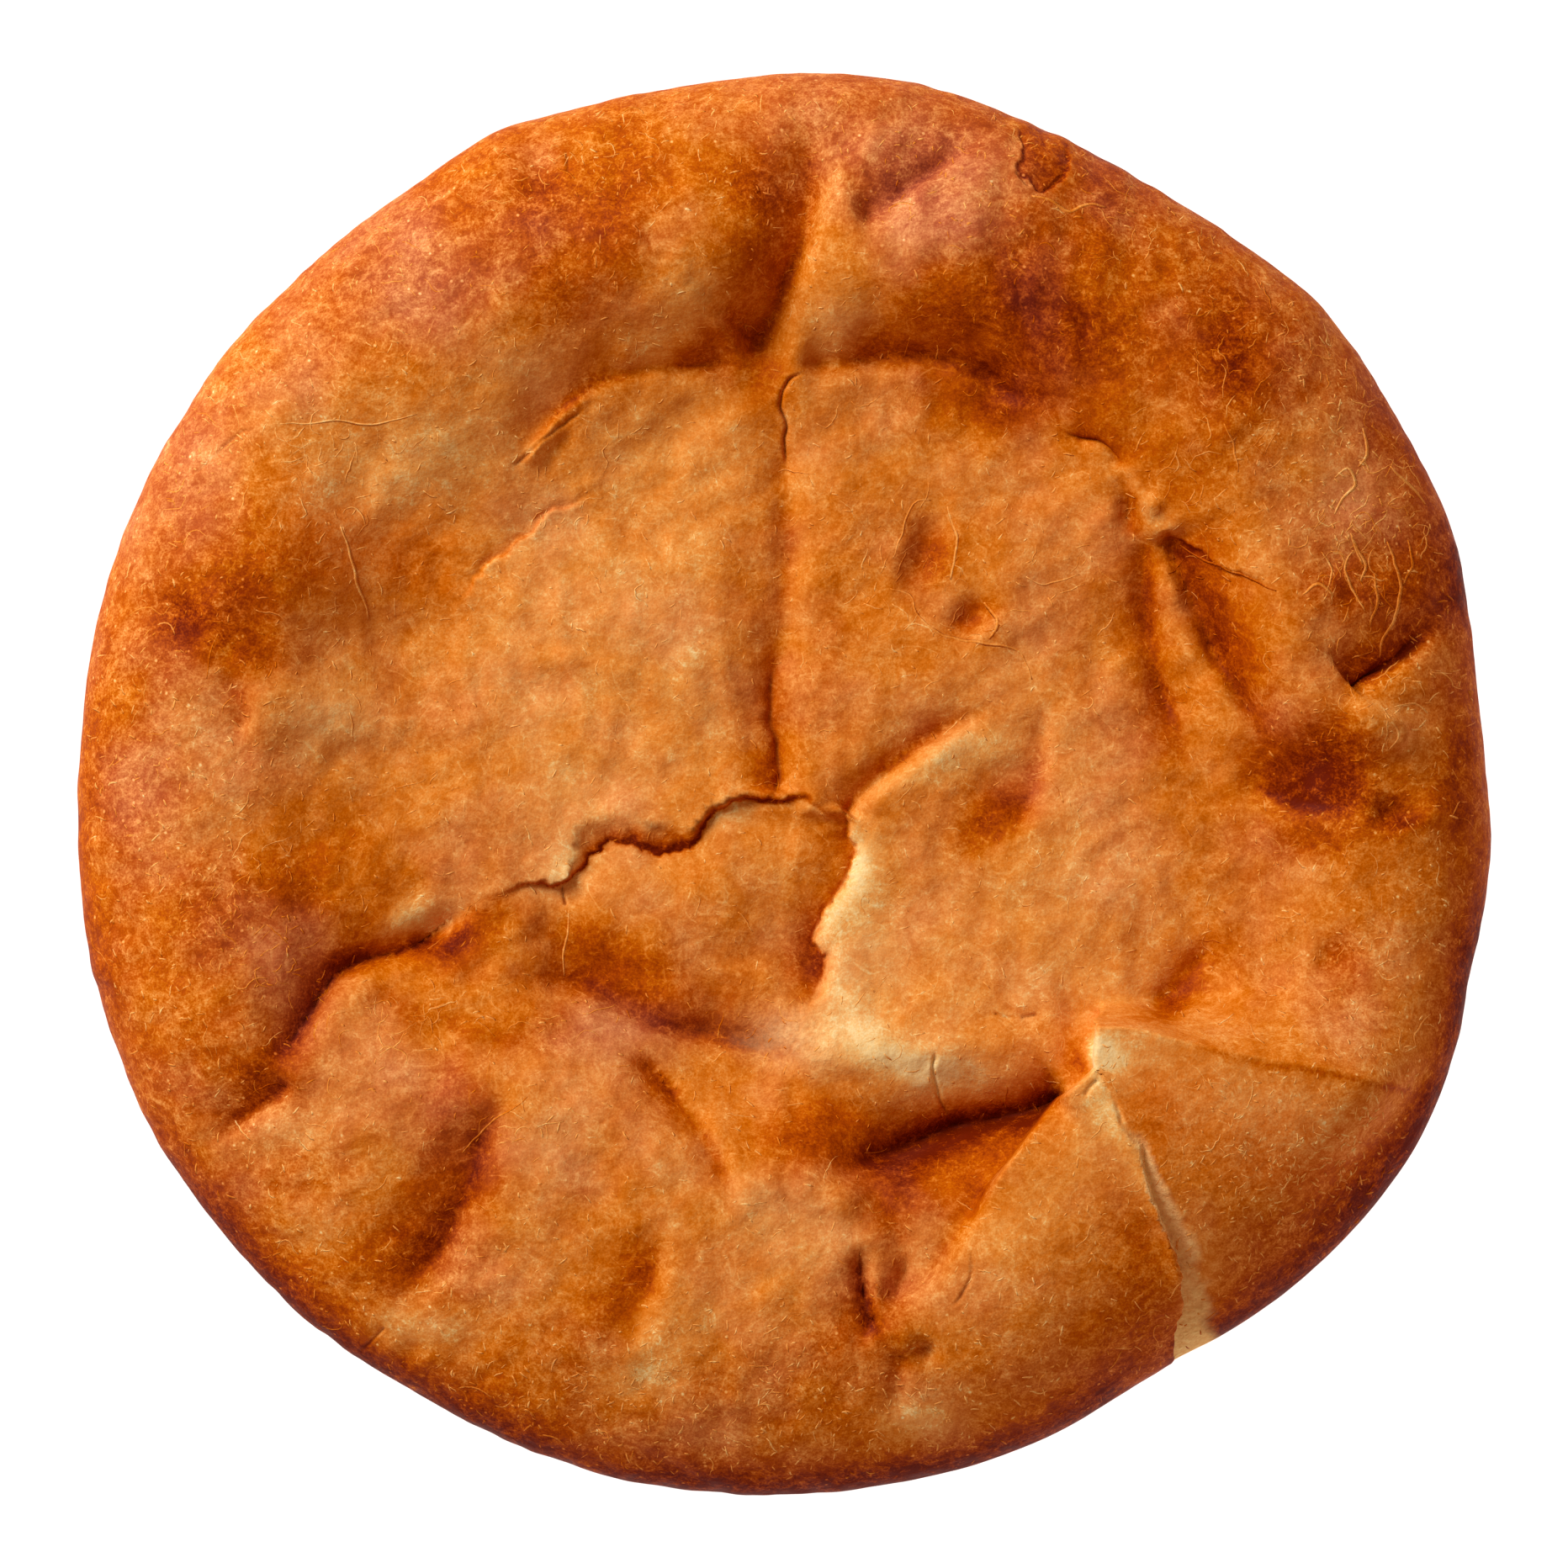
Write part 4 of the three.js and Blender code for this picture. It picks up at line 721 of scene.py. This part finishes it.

# changes of the tone along a path, baked colour and painted shade and shadow: widths to its left and right,
# paler (plus) or darker (minus)
strokes = {
    "flapShadow": ([(44, -44)] + flap["leftEdge"][4:9], 0.3, 4, -0.2),
    "sheetCream": (tears["rightSheet"]["path"], 3.8, 0.3, 0.5),
    "lipCream": ([(47.2, -37)] + split["path"][:8], 0.5, 3.2, 0.34),
    "tongueCream": (tears["middleTear"]["path"][8:], 0.1, 0.8, 0.25),
    "orangeStreak": ([(-62.1, -29.3), (-57.9, -31.8), (-53.1, -34.1), (-48.3, -35.3), (-41.1, -37.1),
                      (-33.9, -38.9)], 1.5, 2.2, -0.15),
    "nearStreak": (folds["nearCrease"]["path"][:4], 1.4, 2.6, -0.2),
    "foldShoulder": ([(-38, -32.5), (-30, -34), (-22, -37), (-14, -40.5)], 2.5, 2.5, 0.04),
    "rightWedge": ([(56.4, 36.6), (61.5, 29.5), (65, 21), (69, 12), (74, 5)], 5.6, 1.4, -0.21),
    "ridgeCream": (flap["farEdge"][:4], 0.8, 0.9, 0.14),
    "ridgeFront": ([(px, py - 1) for px, py in flap["farEdge"][:8]], 0.8, 4.5, 0.04),
    "ridgeLine": ([(px, py - 0.6) for px, py in flap["farEdge"][3:8]], 0.6, 0.6, -0.22),
}
rimSides = (260, 350, 95, 135)  # directions of the near, right and far sides of the rim, and of the light


def brownFold(fold, tone, x, y, wx, wy):
    path = foldLine(fold["path"])
    # this is painted shade, broad, mostly on the fold's broad side that faces away from the light
    if "brown" in fold:  # broad browning, mostly on the fold's broad side
        near = closeTo(path, x, y, 4 * max(fold["width"]))
        gap, side, along, _ = besidePath(path, *partWay(0.4, near, x, y, wx, wy))
        wide = np.where(side > 0, *fold["width"])
        wide = wide * np.where(wide > min(fold["width"]), 1.3, 0.6)
        tone[near] -= fold["brown"] * endFade(along, fold["fade"]) * np.exp(-(gap / wide) ** 2)
    # the dark core is painted shade in the bottom of the fold
    if "core" in fold:  # a dark line in the bottom
        dark, wide = fold["core"]
        near = closeTo(path, x, y, 4 * wide + 2)
        gap, _, along, _ = besidePath(path, *partWay(0.2, near, x, y, wx, wy))
        strength = endFade(along, (fold["fade"][0] + 0.1, fold["fade"][1] + 0.05))
        uneven = 0.75 + 0.35 * cloud(x[near], y[near], 4, 71)
        tone[near] -= 0.6 * dark * strength * uneven * np.exp(-(gap / wide) ** 2)


def brownTear(tear, tone, x, y):
    near, across, wall, strength = besideTear(tear, x, y)
    # painted shade on the wall under the edge, at its foot and on the lower side beside it; the torn edge
    # itself is a little paler
    edge = 0.1 * (tear["edge"] > 0) * (across > wall) * np.exp(-(across - wall) / 1.1)
    shade = tear.get("shade", 0) * (across > 0) * np.clip(1 - across / wall, 0, 1) ** 0.8
    footWide = np.where(across > 0.15, 0.3 + 0.2 * wall, 0.5)
    foot = tear.get("foot", 0.42 * min(1, tear["drop"] / 1.8)) * np.exp(-((across - 0.15) / footWide) ** 2)
    reach = tear.get("lowShadeReach", tear["reach"])
    lowShade = tear.get("lowShade", 0) * np.exp(np.minimum(across, 0) / reach) * (across < 0.2)
    tone[near] += strength * (edge - shade - foot - lowShade)


def bakeAndShadeTone(x, y, lean, angle):
    wx, wy = wander(x, y, **bakeWander)
    tone = baseTone + 0.05 * cloud(x, y, 14, 65) + 0.04 * cloud(x, y, 6, 66)
    for *oval, amount in bakesAndPaintedLight.values():
        tone += amount * ovalPatch(wx, wy, *oval)
    for fold in folds.values():
        brownFold(fold, tone, x, y, wx, wy)
    for tear in tears.values():
        brownTear(tear, tone, x, y)
    for points, leftWide, rightWide, amount in strokes.values():
        path = curveThrough(points)
        near = closeTo(path, x, y, 3 * max(leftWide, rightWide))
        gap, side, along, _ = besidePath(path, *partWay(0.3, near, x, y, wx, wy))
        wide = np.where(side > 0, leftWide, rightWide)
        tone[near] += amount * endFade(along, (0.12, 0.2)) * np.exp(-(gap / wide) ** 2)
    # the rim is painted darker: part browning, part painted shade on the near and right sides away from the
    # light; the far side and the slope toward the light are painted darker against the light falling there
    near, right, far, lit = [0.5 + 0.5 * np.cos(angle - math.radians(d)) for d in rimSides]
    tone -= (0.02 + 0.46 * near ** 2 + 0.3 * right ** 4 + 0.12 * far ** 4) * smoothStep(0.5, 0.85, lean)
    tone -= 0.09 * near ** 2 * smoothStep(0.1, 0.4, lean)
    tone -= 0.24 * np.maximum(near, right) * smoothStep(0.86, 1, lean)
    tone -= 0.12 * lit * smoothStep(0.05, 0.4, lean) * (1 - smoothStep(0.5, 0.9, lean))
    return np.clip(tone, 0, crustTop)


def blushOf(x, y):
    wx, wy = wander(x, y, **blushWander)
    blush = 0.12 + 0.25 * cloud(x, y, 12, 83)
    for middleX, middleY, wide, high, amount in blushAndPaintedSheen.values():
        blush += amount * ovalPatch(wx, wy, middleX, middleY, wide, high, 0)
    return np.clip(blush, -1, 1)


def crumbShown(x, y):
    # bare crumb: thinly under the pale patch, inside the split and on its left lip
    shown = palePatch["share"] * ovalPatch(*wander(x, y, **crumbWander), *palePatch["oval"])
    near, across, wall, along = besideSplit(x, y)
    lip = 0.6 * (1 - smoothStep(0.25, 0.5, along)) + 0.1
    ragged = across / wall + 0.2 * cloud(x[near], y[near], 1.3, 75)
    bare = np.where(across > 0, 1 - smoothStep(0.6, 1.1, ragged), 1 - smoothStep(0.7, 1.2, -across / lip))
    bare *= np.where(across > 0, 0.75 + 0.25 * smoothStep(0.4, 0.65, along), 1)
    bare *= smoothStep(0.14, 0.26, along)
    shown[near] = np.maximum(shown[near], bare)
    return shown


def crackShade(x, y):
    shade = np.zeros(len(x))
    # painted shade in the bottom of each crack
    for near, widths, _, strength in besideCracks(x, y):
        uneven = np.clip(0.7 + 0.7 * cloud(x[near], y[near], 2.4, 73), 0.15, 1)
        shade[near] = np.maximum(shade[near], 0.6 * uneven * strength * np.exp(-(widths / 0.5) ** 2))
    for tear in tears.values():
        # painted shadow: a thin broken dark line under the sharp edge on top of the wall
        if tear["edge"]:  # a thin broken line along the top of the wall
            near, across, wall, strength = besideTear(tear, x, y)
            broken = smoothStep(-0.4, 0.2, cloud(x[near], y[near], 2.2, 72))
            line = min(0.6, 0.4 * tear["drop"]) * np.exp(-((across - wall) / 0.17) ** 2) * broken
            shade[near] = np.maximum(shade[near], strength * line)
    return shade


def setMark(mesh, name, values):
    mesh.attributes.new(name, "FLOAT", "POINT").data.foreach_set("value", np.array(values, np.float32))


def finishFaces():
    # triangles that point outwards, on the active piece
    bpy.ops.object.mode_set(mode="EDIT")
    bpy.ops.mesh.select_all(action="SELECT")
    bpy.ops.mesh.quads_convert_to_tris(quad_method="BEAUTY", ngon_method="BEAUTY")
    bpy.ops.mesh.normals_make_consistent(inside=False)
    bpy.ops.object.mode_set(mode="OBJECT")
    bpy.ops.object.shade_smooth()


def shapeLoaf(mesh):
    share, angle = readPoints(mesh)
    x, y, z, lean, keep = planOf(share, angle)
    height, (moveX, moveY) = crustRelief(x, y)
    tilt = lean * math.pi / 2
    out = keep * height * np.sin(tilt)
    under = share > loaf["sideEnd"]
    x2 = x + np.where(under, 0, out * np.cos(angle) + moveX * (1 - lean))
    y2 = y + np.where(under, 0, out * np.sin(angle) + moveY * (1 - lean))
    z2 = np.where(under, 0, z + keep * height * np.cos(tilt))
    mesh.vertices.foreach_set("co", (np.column_stack([x2, y2, z2]) * mm).ravel())
    setMark(mesh, "tone", bakeAndShadeTone(x, y, lean, angle))
    setMark(mesh, "blush", blushOf(x, y))
    setMark(mesh, "crumb", crumbShown(x, y))
    setMark(mesh, "crack", crackShade(x, y))
    setMark(mesh, "rim", smoothStep(0, 0.36, lean))
    finishFaces()
    mesh.update()


crustLoaf = makeLoaf()
print("loaf disc", len(crustLoaf.data.polygons), "faces")
shapeLoaf(crustLoaf.data)
print("loaf shaped", len(crustLoaf.data.polygons), "triangles")


# materials

def linear(*colour):
    shares = [c / 255 for c in colour]
    return tuple(c / 12.92 if c < 0.04045 else ((c + 0.055) / 1.055) ** 2.4 for c in shares)


def seen(r, g, b, light=(1.064, 1.025, 1.037), sheen=0.0015):
    # the base colour that the camera sees as r, g, b under the studio's light
    return tuple(max(c - sheen, 0.002) / share for c, share in zip(linear(r, g, b), light)) + (1,)


def addNode(tree, kind, inputs=None, **settings):
    node = tree.nodes.new(kind)
    for name, value in settings.items():
        setattr(node, name, value)
    for name, value in (inputs or {}).items():
        socket = node.inputs[name]
        if isinstance(value, bpy.types.NodeSocket):
            tree.links.new(value, socket)
        else:
            socket.default_value = value
    return node


crustLook = {
    "stops": [(0.0, seen(108, 30, 3)), (0.15, seen(144, 50, 7)), (0.36, seen(185, 80, 17)),
              (0.6, seen(217, 121, 51)), (0.76, seen(231, 143, 71)), (0.92, seen(240, 163, 90)),
              (1.08, seen(245, 189, 119)), (1.25, seen(250, 210, 148))],
    "crumbStops": [(0.3, seen(238, 172, 106)), (0.7, seen(255, 212, 146))],
    # the dark of the painted shade in cracks and under torn edges
    "crackShadeColour": seen(112, 38, 8),
    # how much each layer changes the tone
    "cloudy": 0.25, "vein": 0.09, "grain": 0.19, "fine": 0.19, "fibre": 0.15, "speck": 0.5, "freckle": 0.12,
    "sparkle": 1.3, "thread": 0.13,
    "hueDrift": 0.001, "dull": 0.06, "ruddy": 0.006, "roughness": 0.56, "gloss": 0.025,
}


def makeCrust():
    look = crustLook
    material = bpy.data.materials.new("bakedCrust")
    material.use_nodes = True
    tree = material.node_tree
    tree.nodes.clear()
    coords = addNode(tree, "ShaderNodeTexCoord").outputs["Object"]

    def markOf(name):
        return addNode(tree, "ShaderNodeAttribute", attribute_name=name).outputs["Fac"]

    def mathOf(operation, a, b=0.0):
        return addNode(tree, "ShaderNodeMath", {0: a, 1: b}, operation=operation).outputs[0]

    def times(a, b):
        return mathOf("MULTIPLY", a, b)

    def plus(a, b):
        return mathOf("ADD", a, b)

    def noiseOf(place, scale, detail=2.0, roughness=0.5, distortion=0.0):
        inputs = {"Vector": place, "Scale": scale, "Detail": detail}
        inputs.update({"Roughness": roughness, "Distortion": distortion})
        return addNode(tree, "ShaderNodeTexNoise", inputs).outputs["Fac"]

    def rangeOf(value, low, high, toLow=0.0, toHigh=1.0):
        inputs = {"Value": value, "From Min": low, "From Max": high, "To Min": toLow, "To Max": toHigh}
        return addNode(tree, "ShaderNodeMapRange", inputs).outputs[0]

    def rampOf(value, stops):
        node = addNode(tree, "ShaderNodeValToRGB", {"Fac": value})
        ramp = node.color_ramp
        while len(ramp.elements) < len(stops):
            ramp.elements.new(0.5)
        for element, (place, colour) in zip(ramp.elements, stops):
            element.position = place
            element.color = colour
        return node.outputs["Color"]

    def mixOf(share, first, second):
        return addNode(tree, "ShaderNodeMix", {0: share, 6: first, 7: second}, data_type="RGBA").outputs[2]

    def levelLine(noise):
        # how far a noise is from its middle level
        return mathOf("ABSOLUTE", plus(noise, -0.5))

    def swing(noise, amount):
        # a noise turned into a change of this much up or down
        return times(plus(noise, -0.5), 2 * amount)

    def dotsOf(place, scale, small, large, channel, low):
        # round dots in some of the cells
        cells = addNode(tree, "ShaderNodeTexVoronoi", {"Vector": place, "Scale": scale})
        chance = addNode(tree, "ShaderNodeSeparateColor", {0: cells.outputs["Color"]}).outputs[channel]
        return times(rangeOf(cells.outputs["Distance"], small, large, 1, 0), rangeOf(chance, low, 0.8))

    rim, crumb = markOf("rim"), markOf("crumb")
    cloudy = noiseOf(coords, 200, 4, 0.72, 0.6)
    mottle = noiseOf(coords, 330, 2, 0.55)
    grain = noiseOf(coords, 900, 2, 0.7)
    fine = noiseOf(coords, 3200, 1, 0.6)
    bend = addNode(tree, "ShaderNodeTexNoise", {"Vector": coords, "Scale": 180.0, "Detail": 0.0})
    bendBy = {0: bend.outputs["Color"], 1: (0.006, 0.006, 0.006), 2: coords}
    bent = addNode(tree, "ShaderNodeVectorMath", bendBy, operation="MULTIPLY_ADD").outputs[0]

    # veins, curly fibres and threads are level lines of bent noise, the last two broken up by another noise
    vein = rangeOf(levelLine(noiseOf(bent, 330, 2, 0.55)), 0, 0.12, 1, 0)
    curl = rangeOf(levelLine(noiseOf(bent, 240, 1, 0.4)), 0.004, 0.02, 1, 0)
    curl = times(curl, rangeOf(noiseOf(bent, 520, 0), 0.54, 0.62))
    thread = rangeOf(levelLine(noiseOf(bent, 460, 1, 0.5)), 0.005, 0.03, 1, 0)
    thread = times(thread, rangeOf(cloudy, 0.5, 0.6))
    speck = times(dotsOf(coords, 620.0, 0.08, 0.2, 0, 0.72), rangeOf(rim, 0, 1, 0.35, 1))
    freckle = dotsOf(bent, 150.0, 0.05, 0.22, 1, 0.7)

    uneven = plus(swing(cloudy, look["cloudy"]), times(plus(vein, -0.4), look["vein"]))
    uneven = plus(uneven, times(freckle, -look["freckle"]))
    uneven = plus(uneven, plus(swing(grain, look["grain"]), swing(fine, look["fine"])))
    uneven = times(uneven, rangeOf(rim, 0, 1, 1, 1.35))  # the rim is the most freckled
    # bright flecks stand out more than dark ones
    uneven = plus(times(uneven, plus(times(uneven, look["sparkle"]), 1)), -0.02)
    lines = plus(times(curl, look["fibre"]), times(thread, look["thread"]))
    tone = plus(plus(markOf("tone"), uneven), plus(lines, times(speck, look["speck"])))
    stops = [(place / crustTop, colour) for place, colour in look["stops"]]
    crustColour = rampOf(times(tone, 1 / crustTop), stops)

    # blush makes the crust rosier and duller, in part a painted sheen where slopes face the light
    drift = plus(times(plus(noiseOf(coords, 90, 2, 0.6), -0.5), 1.2), markOf("blush"))
    hue = rangeOf(drift, 0, 1, 0.5 + look["hueDrift"] * 0.4, 0.5 - look["hueDrift"])
    hue = plus(hue, rangeOf(drift, -1, 0, -look["ruddy"], 0))
    dull = rangeOf(drift, 0, 1, 1.03, 1 - look["dull"])
    shift = {"Hue": hue, "Saturation": dull, "Value": 1.0, "Color": crustColour}
    crustColour = addNode(tree, "ShaderNodeHueSaturation", shift).outputs[0]
    bare = mixOf(crumb, crustColour, rampOf(grain, look["crumbStops"]))
    # the crack mark mixes in painted shade for cracks and torn edges
    colour = mixOf(markOf("crack"), bare, look["crackShadeColour"])

    rough = rangeOf(mottle, 0.3, 0.7, look["roughness"] - 0.08, look["roughness"] + 0.1)
    rough = plus(rough, times(crumb, 0.3))
    relief = plus(times(mottle, 0.7), times(grain, plus(0.35, times(crumb, 1.2))))
    bump = addNode(tree, "ShaderNodeBump", {"Height": relief, "Strength": 0.5, "Distance": 0.0006}).outputs[0]
    finish = {"Base Color": colour, "Roughness": rough, "Normal": bump, "Specular IOR Level": look["gloss"]}
    shader = addNode(tree, "ShaderNodeBsdfPrincipled", finish)
    addNode(tree, "ShaderNodeOutputMaterial", {"Surface": shader.outputs[0]})
    return material


crustLoaf.data.materials.append(makeCrust())
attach(crustLoaf, "root")
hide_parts("loaf")
print("crust finished")


# curled fibres of dried crust lying on the loaf, each a thin tapered strand

fibres = {
    "fleck": {"count": 3800, "length": (0.5, 1.7), "thick": (0.22, 0.46), "paler": (0.16, 0.38), "curl": 0.16,
              "clumps": [(78, -58, 16, 10, 260), (-82, -5, 12, 30, 240), (-10, -90, 45, 9, 340),
                         (80, 40, 10, 24, 160)]},  # middle, half sizes, how many
    "strand": {"count": 420, "length": (2, 6), "thick": (0.2, 0.4), "paler": (0.1, 0.34), "curl": 0.34,
               "clumps": [(83.5, 31, 5, 8, 40), (-72, 50, 12, 3, 22), (22, 27, 8, 9, 26), (88, 12, 6, 5, 10),
                          (-71, 30, 14, 10, 20), (62, 44, 10, 8, 30), (70, 60, 12, 10, 36),
                          (45, 80, 10, 6, 24), (90, 50, 5, 12, 24), (-52, -34, 12, 4, 26),
                          (-78, -20, 9, 9, 20), (-30, 90, 12, 6, 16), (-40, -50, 5, 3, 10)]},
    "drawnStrand": {"thick": (0.4, 0.8), "paler": (0.14, 0.26)},
    "step": 0.5, "seed": 7, "palest": 0.96, "reach": 103, "sunk": 0.05,
    "dropFrom": 80, "steepest": 0.25, "rimPaler": (70, 98),  # not over the edge, paler toward the rim
    "drawn": [[(-31.4, -18.5), (-31.4, -21), (-32.4, -24.8), (-32.5, -28.5)],
        [(36.4, 86.3), (39.3, 85.3), (41.8, 83.8), (44.9, 85), (47.4, 84.6)],
        [(-47.1, -53.9), (-44.1, -50.9), (-41.6, -48.5), (-38.6, -46.8), (-37.5, -45.8)],
        [(-73.9, 53), (-66.4, 53.4), (-60.1, 53), (-53.9, 54)], [(58.6, 35.3), (64.9, 31.5), (71.8, 28.1)],
        [(16.1, 29), (18.6, 27.8), (19.9, 24.6), (24.9, 21.5), (28.6, 20.9), (34.3, 19.6), (36.8, 15.3)],
        [(16.1, 33), (17.4, 37), (19.6, 41), (22, 42)],
        [(24.3, 41.3), (25.3, 37), (25.2, 33.5), (24.6, 30.3)], [(29.9, 27.1), (31.8, 24), (30.3, 21.5)],
        [(35.5, 30.3), (38, 29.4), (40.6, 30), (43.6, 30.9)], [(-82.6, 22), (-83.5, 19.5), (-84.8, 15.8)],
        [(-65, 37.8), (-62.6, 29), (-61.4, 24)], [(83.1, 36.7), (83.8, 34.7), (85, 32.3), (84.6, 29.9)],
        [(83, 37), (83.5, 35), (84.6, 32.5)], [(83.4, 34.7), (82.2, 31.5), (83.8, 27.5), (84.6, 25.1)],
        [(88.2, 35.5), (89.8, 31.5), (90.6, 27.5), (89.8, 24.3), (87.8, 21), (87.4, 18.6)],
        [(85.4, 52.4), (86.2, 49.2), (84.6, 46.8)], [(89.4, 46.8), (91.8, 44.3), (94.6, 41.1)],
        [(80.6, 45.2), (82.6, 46.4), (83.8, 44), (81.8, 41.9), (80.6, 39.5)],
        [(64.5, 52.4), (65.7, 49.2), (66.1, 45.2)], [(75.8, 27.5), (78.2, 29.1), (80.6, 27.5)],
        [(89.8, 11.5), (92.6, 11.9), (94.2, 10.3)], [(87.8, 10.7), (90.2, 7.5), (88.6, 5.1)],
        [(86.4, 31), (86.8, 27), (85.6, 23)], [(79, 34), (80.6, 31), (79.4, 28)],
        [(91.6, 36), (92.4, 32), (91, 29)]],
}


def fibrePaths(dice):
    # the drawn strands, then strewn flecks and strands, more of them toward the rim
    reach, paths = fibres["reach"], []
    for points in fibres["drawn"]:
        paths.append(("drawnStrand", np.column_stack(wander(*curveThrough(points, 0.6).T, **lineWander))))
    for kind in ("fleck", "strand"):
        look, starts = fibres[kind], []
        while len(starts) < look["count"]:
            x, y = dice.uniform(-reach, reach, 2)
            out = math.hypot(x, y) / reach
            if out < 1 and dice.uniform() < 0.4 + 0.6 * out ** 2:
                starts.append((x, y))
        for middleX, middleY, wide, high, many in look["clumps"]:
            for _ in range(many):
                starts.append((middleX + wide * dice.normal() / 1.6, middleY + high * dice.normal() / 1.6))
        for x, y in starts:
            length = between(look["length"], dice.uniform() ** 2)
            heading, bend = dice.uniform(0, 2 * math.pi), dice.normal(0, 0.12)
            points, steps = [(x, y)], max(3, int(length / fibres["step"]))
            for _ in range(steps):
                heading += bend + dice.normal(0, look["curl"])
                x, y = x + length / steps * math.cos(heading), y + length / steps * math.sin(heading)
                points.append((x, y))
            paths.append((kind, np.array(points)))
    return paths


def makeFibres(loafMesh):
    dice = np.random.default_rng(fibres["seed"])
    polygons = [tuple(f.vertices) for f in loafMesh.polygons]
    tree = BVHTree.FromPolygons([v.co for v in loafMesh.vertices], polygons)
    loafTone = loafMesh.attributes["tone"].data
    up, sunk, above = Vector((0, 0, 1)), Vector((0, 0, fibres["sunk"] * mm)), fibres["dropFrom"] * mm
    verts, faces, tones = [], [], []
    for kind, path in fibrePaths(dice):
        line, tone = [], None
        for x, y in path:
            place, normal, index, _ = tree.ray_cast(Vector((x * mm, y * mm, above)), -up)
            if place is None or normal.z < fibres["steepest"]:
                break
            tone = loafTone[polygons[index][0]].value if tone is None else tone
            line.append(place)
        if len(line) < 4:
            continue
        thick = dice.uniform(*fibres[kind]["thick"]) * mm / 2
        paler = between(fibres[kind]["paler"], dice.uniform() ** 2)
        paler *= 1 + 0.5 * smoothStep(*fibres["rimPaler"], math.hypot(*path[0]))
        base = len(verts)
        for i, place in enumerate(line):
            ahead = (line[min(i + 1, len(line) - 1)] - line[max(i - 1, 0)]).normalized()
            across = ahead.cross(up).normalized()
            r = thick * (0.25 + 0.75 * math.sin(math.pi * (0.12 + 0.76 * i / (len(line) - 1))))
            verts += [place + across * r - sunk, place + up * (r * 0.4), place - across * r - sunk]
        tones += [min(tone + paler, fibres["palest"])] * 3 * len(line)
        for i in range(base, len(verts) - 3, 3):
            for k in range(3):
                a, b = i + k, i + (k + 1) % 3
                faces.append((a, b, b + 3, a + 3))
        faces += [(base, base + 2, base + 1), tuple(range(len(verts) - 3, len(verts)))]
    mesh = bpy.data.meshes.new("crustFibres")
    mesh.from_pydata(verts, [], faces)
    setMark(mesh, "tone", tones)
    for name in ("blush", "crumb", "crack", "rim"):
        mesh.attributes.new(name, "FLOAT", "POINT")
    obj = bpy.data.objects.new("crustFibres", mesh)
    bpy.context.collection.objects.link(obj)
    bpy.ops.object.select_all(action="DESELECT")
    obj.select_set(True)
    bpy.context.view_layer.objects.active = obj
    finishFaces()
    return obj


crustFibres = makeFibres(crustLoaf.data)
crustFibres.data.materials.append(crustLoaf.data.materials[0])
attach(crustFibres, "root")
print("fibres laid", len(crustFibres.data.polygons), "triangles")


# floor, light and camera

studio = {
    "viewWidth": 0.233, "viewHeight": 0.013, "cameraUp": 1.25, "aim": (0.000125, 0.0), "sensor": 36,
    "key": {"place": (-0.85, 0.75, 0.75), "size": 0.8, "power": 22.4, "colour": (0.95, 1.06, 1.19)},
    "floor": {"place": (0, 0, 1.6), "size": 2.4, "power": 40, "colour": (1, 1, 1)},
    "around": (1, 0.67, 0.43), "aroundStrength": 0.37,
}


def addLight(name, place, size, power, colour, pieces):
    bpy.ops.object.light_add(type="AREA", location=place)
    light = bpy.context.object
    light.name = name
    light.data.shape = "DISK"
    light.data.size = size
    light.data.energy = power
    light.data.color = colour
    light.rotation_euler = (Vector((0, 0, 0.02)) - light.location).to_track_quat("-Z", "Y").to_euler()
    lit = bpy.data.collections.new(name + "Lit")  # each lamp lights only what it is set for
    for piece in pieces:
        lit.objects.link(piece)
    light.light_linking.receiver_collection = lit
    light.light_linking.blocker_collection = lit


bpy.ops.object.select_all(action="DESELECT")
bpy.ops.mesh.primitive_plane_add(size=6, location=(0, 0, 0))
floor = bpy.context.object
floor.name = "paleFloor"
floorLook = bpy.data.materials.new("paleFloor")
floorLook.use_nodes = True
floorShader = floorLook.node_tree.nodes["Principled BSDF"]
floorShader.inputs["Base Color"].default_value = (0.93, 0.93, 0.93, 1)
floorShader.inputs["Roughness"].default_value = 0.9
floor.data.materials.append(floorLook)
floor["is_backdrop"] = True

addLight("keyLight", **studio["key"], pieces=[crustLoaf, crustFibres])
addLight("floorLight", **studio["floor"], pieces=[floor])

world = bpy.data.worlds.new("softRoom")
bpy.context.scene.world = world
world.use_nodes = True
around = world.node_tree.nodes["Background"]
around.inputs["Color"].default_value = (*studio["around"], 1)
around.inputs["Strength"].default_value = studio["aroundStrength"]

bpy.ops.object.camera_add(location=(*studio["aim"], studio["cameraUp"]), rotation=(0, 0, 0))
camera = bpy.context.object
camera.data.sensor_width = studio["sensor"]
camera.data.lens = studio["sensor"] * (studio["cameraUp"] - studio["viewHeight"]) / studio["viewWidth"]
camera.data.clip_end = 20
bpy.context.scene.camera = camera
bpy.context.scene.view_settings.view_transform = "Standard"
print("studio set")

boxes = {"cad": cadBox, "visual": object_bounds()}
sizes = {name: [list(map(float, corner)) for corner in box] for name, box in boxes.items()}
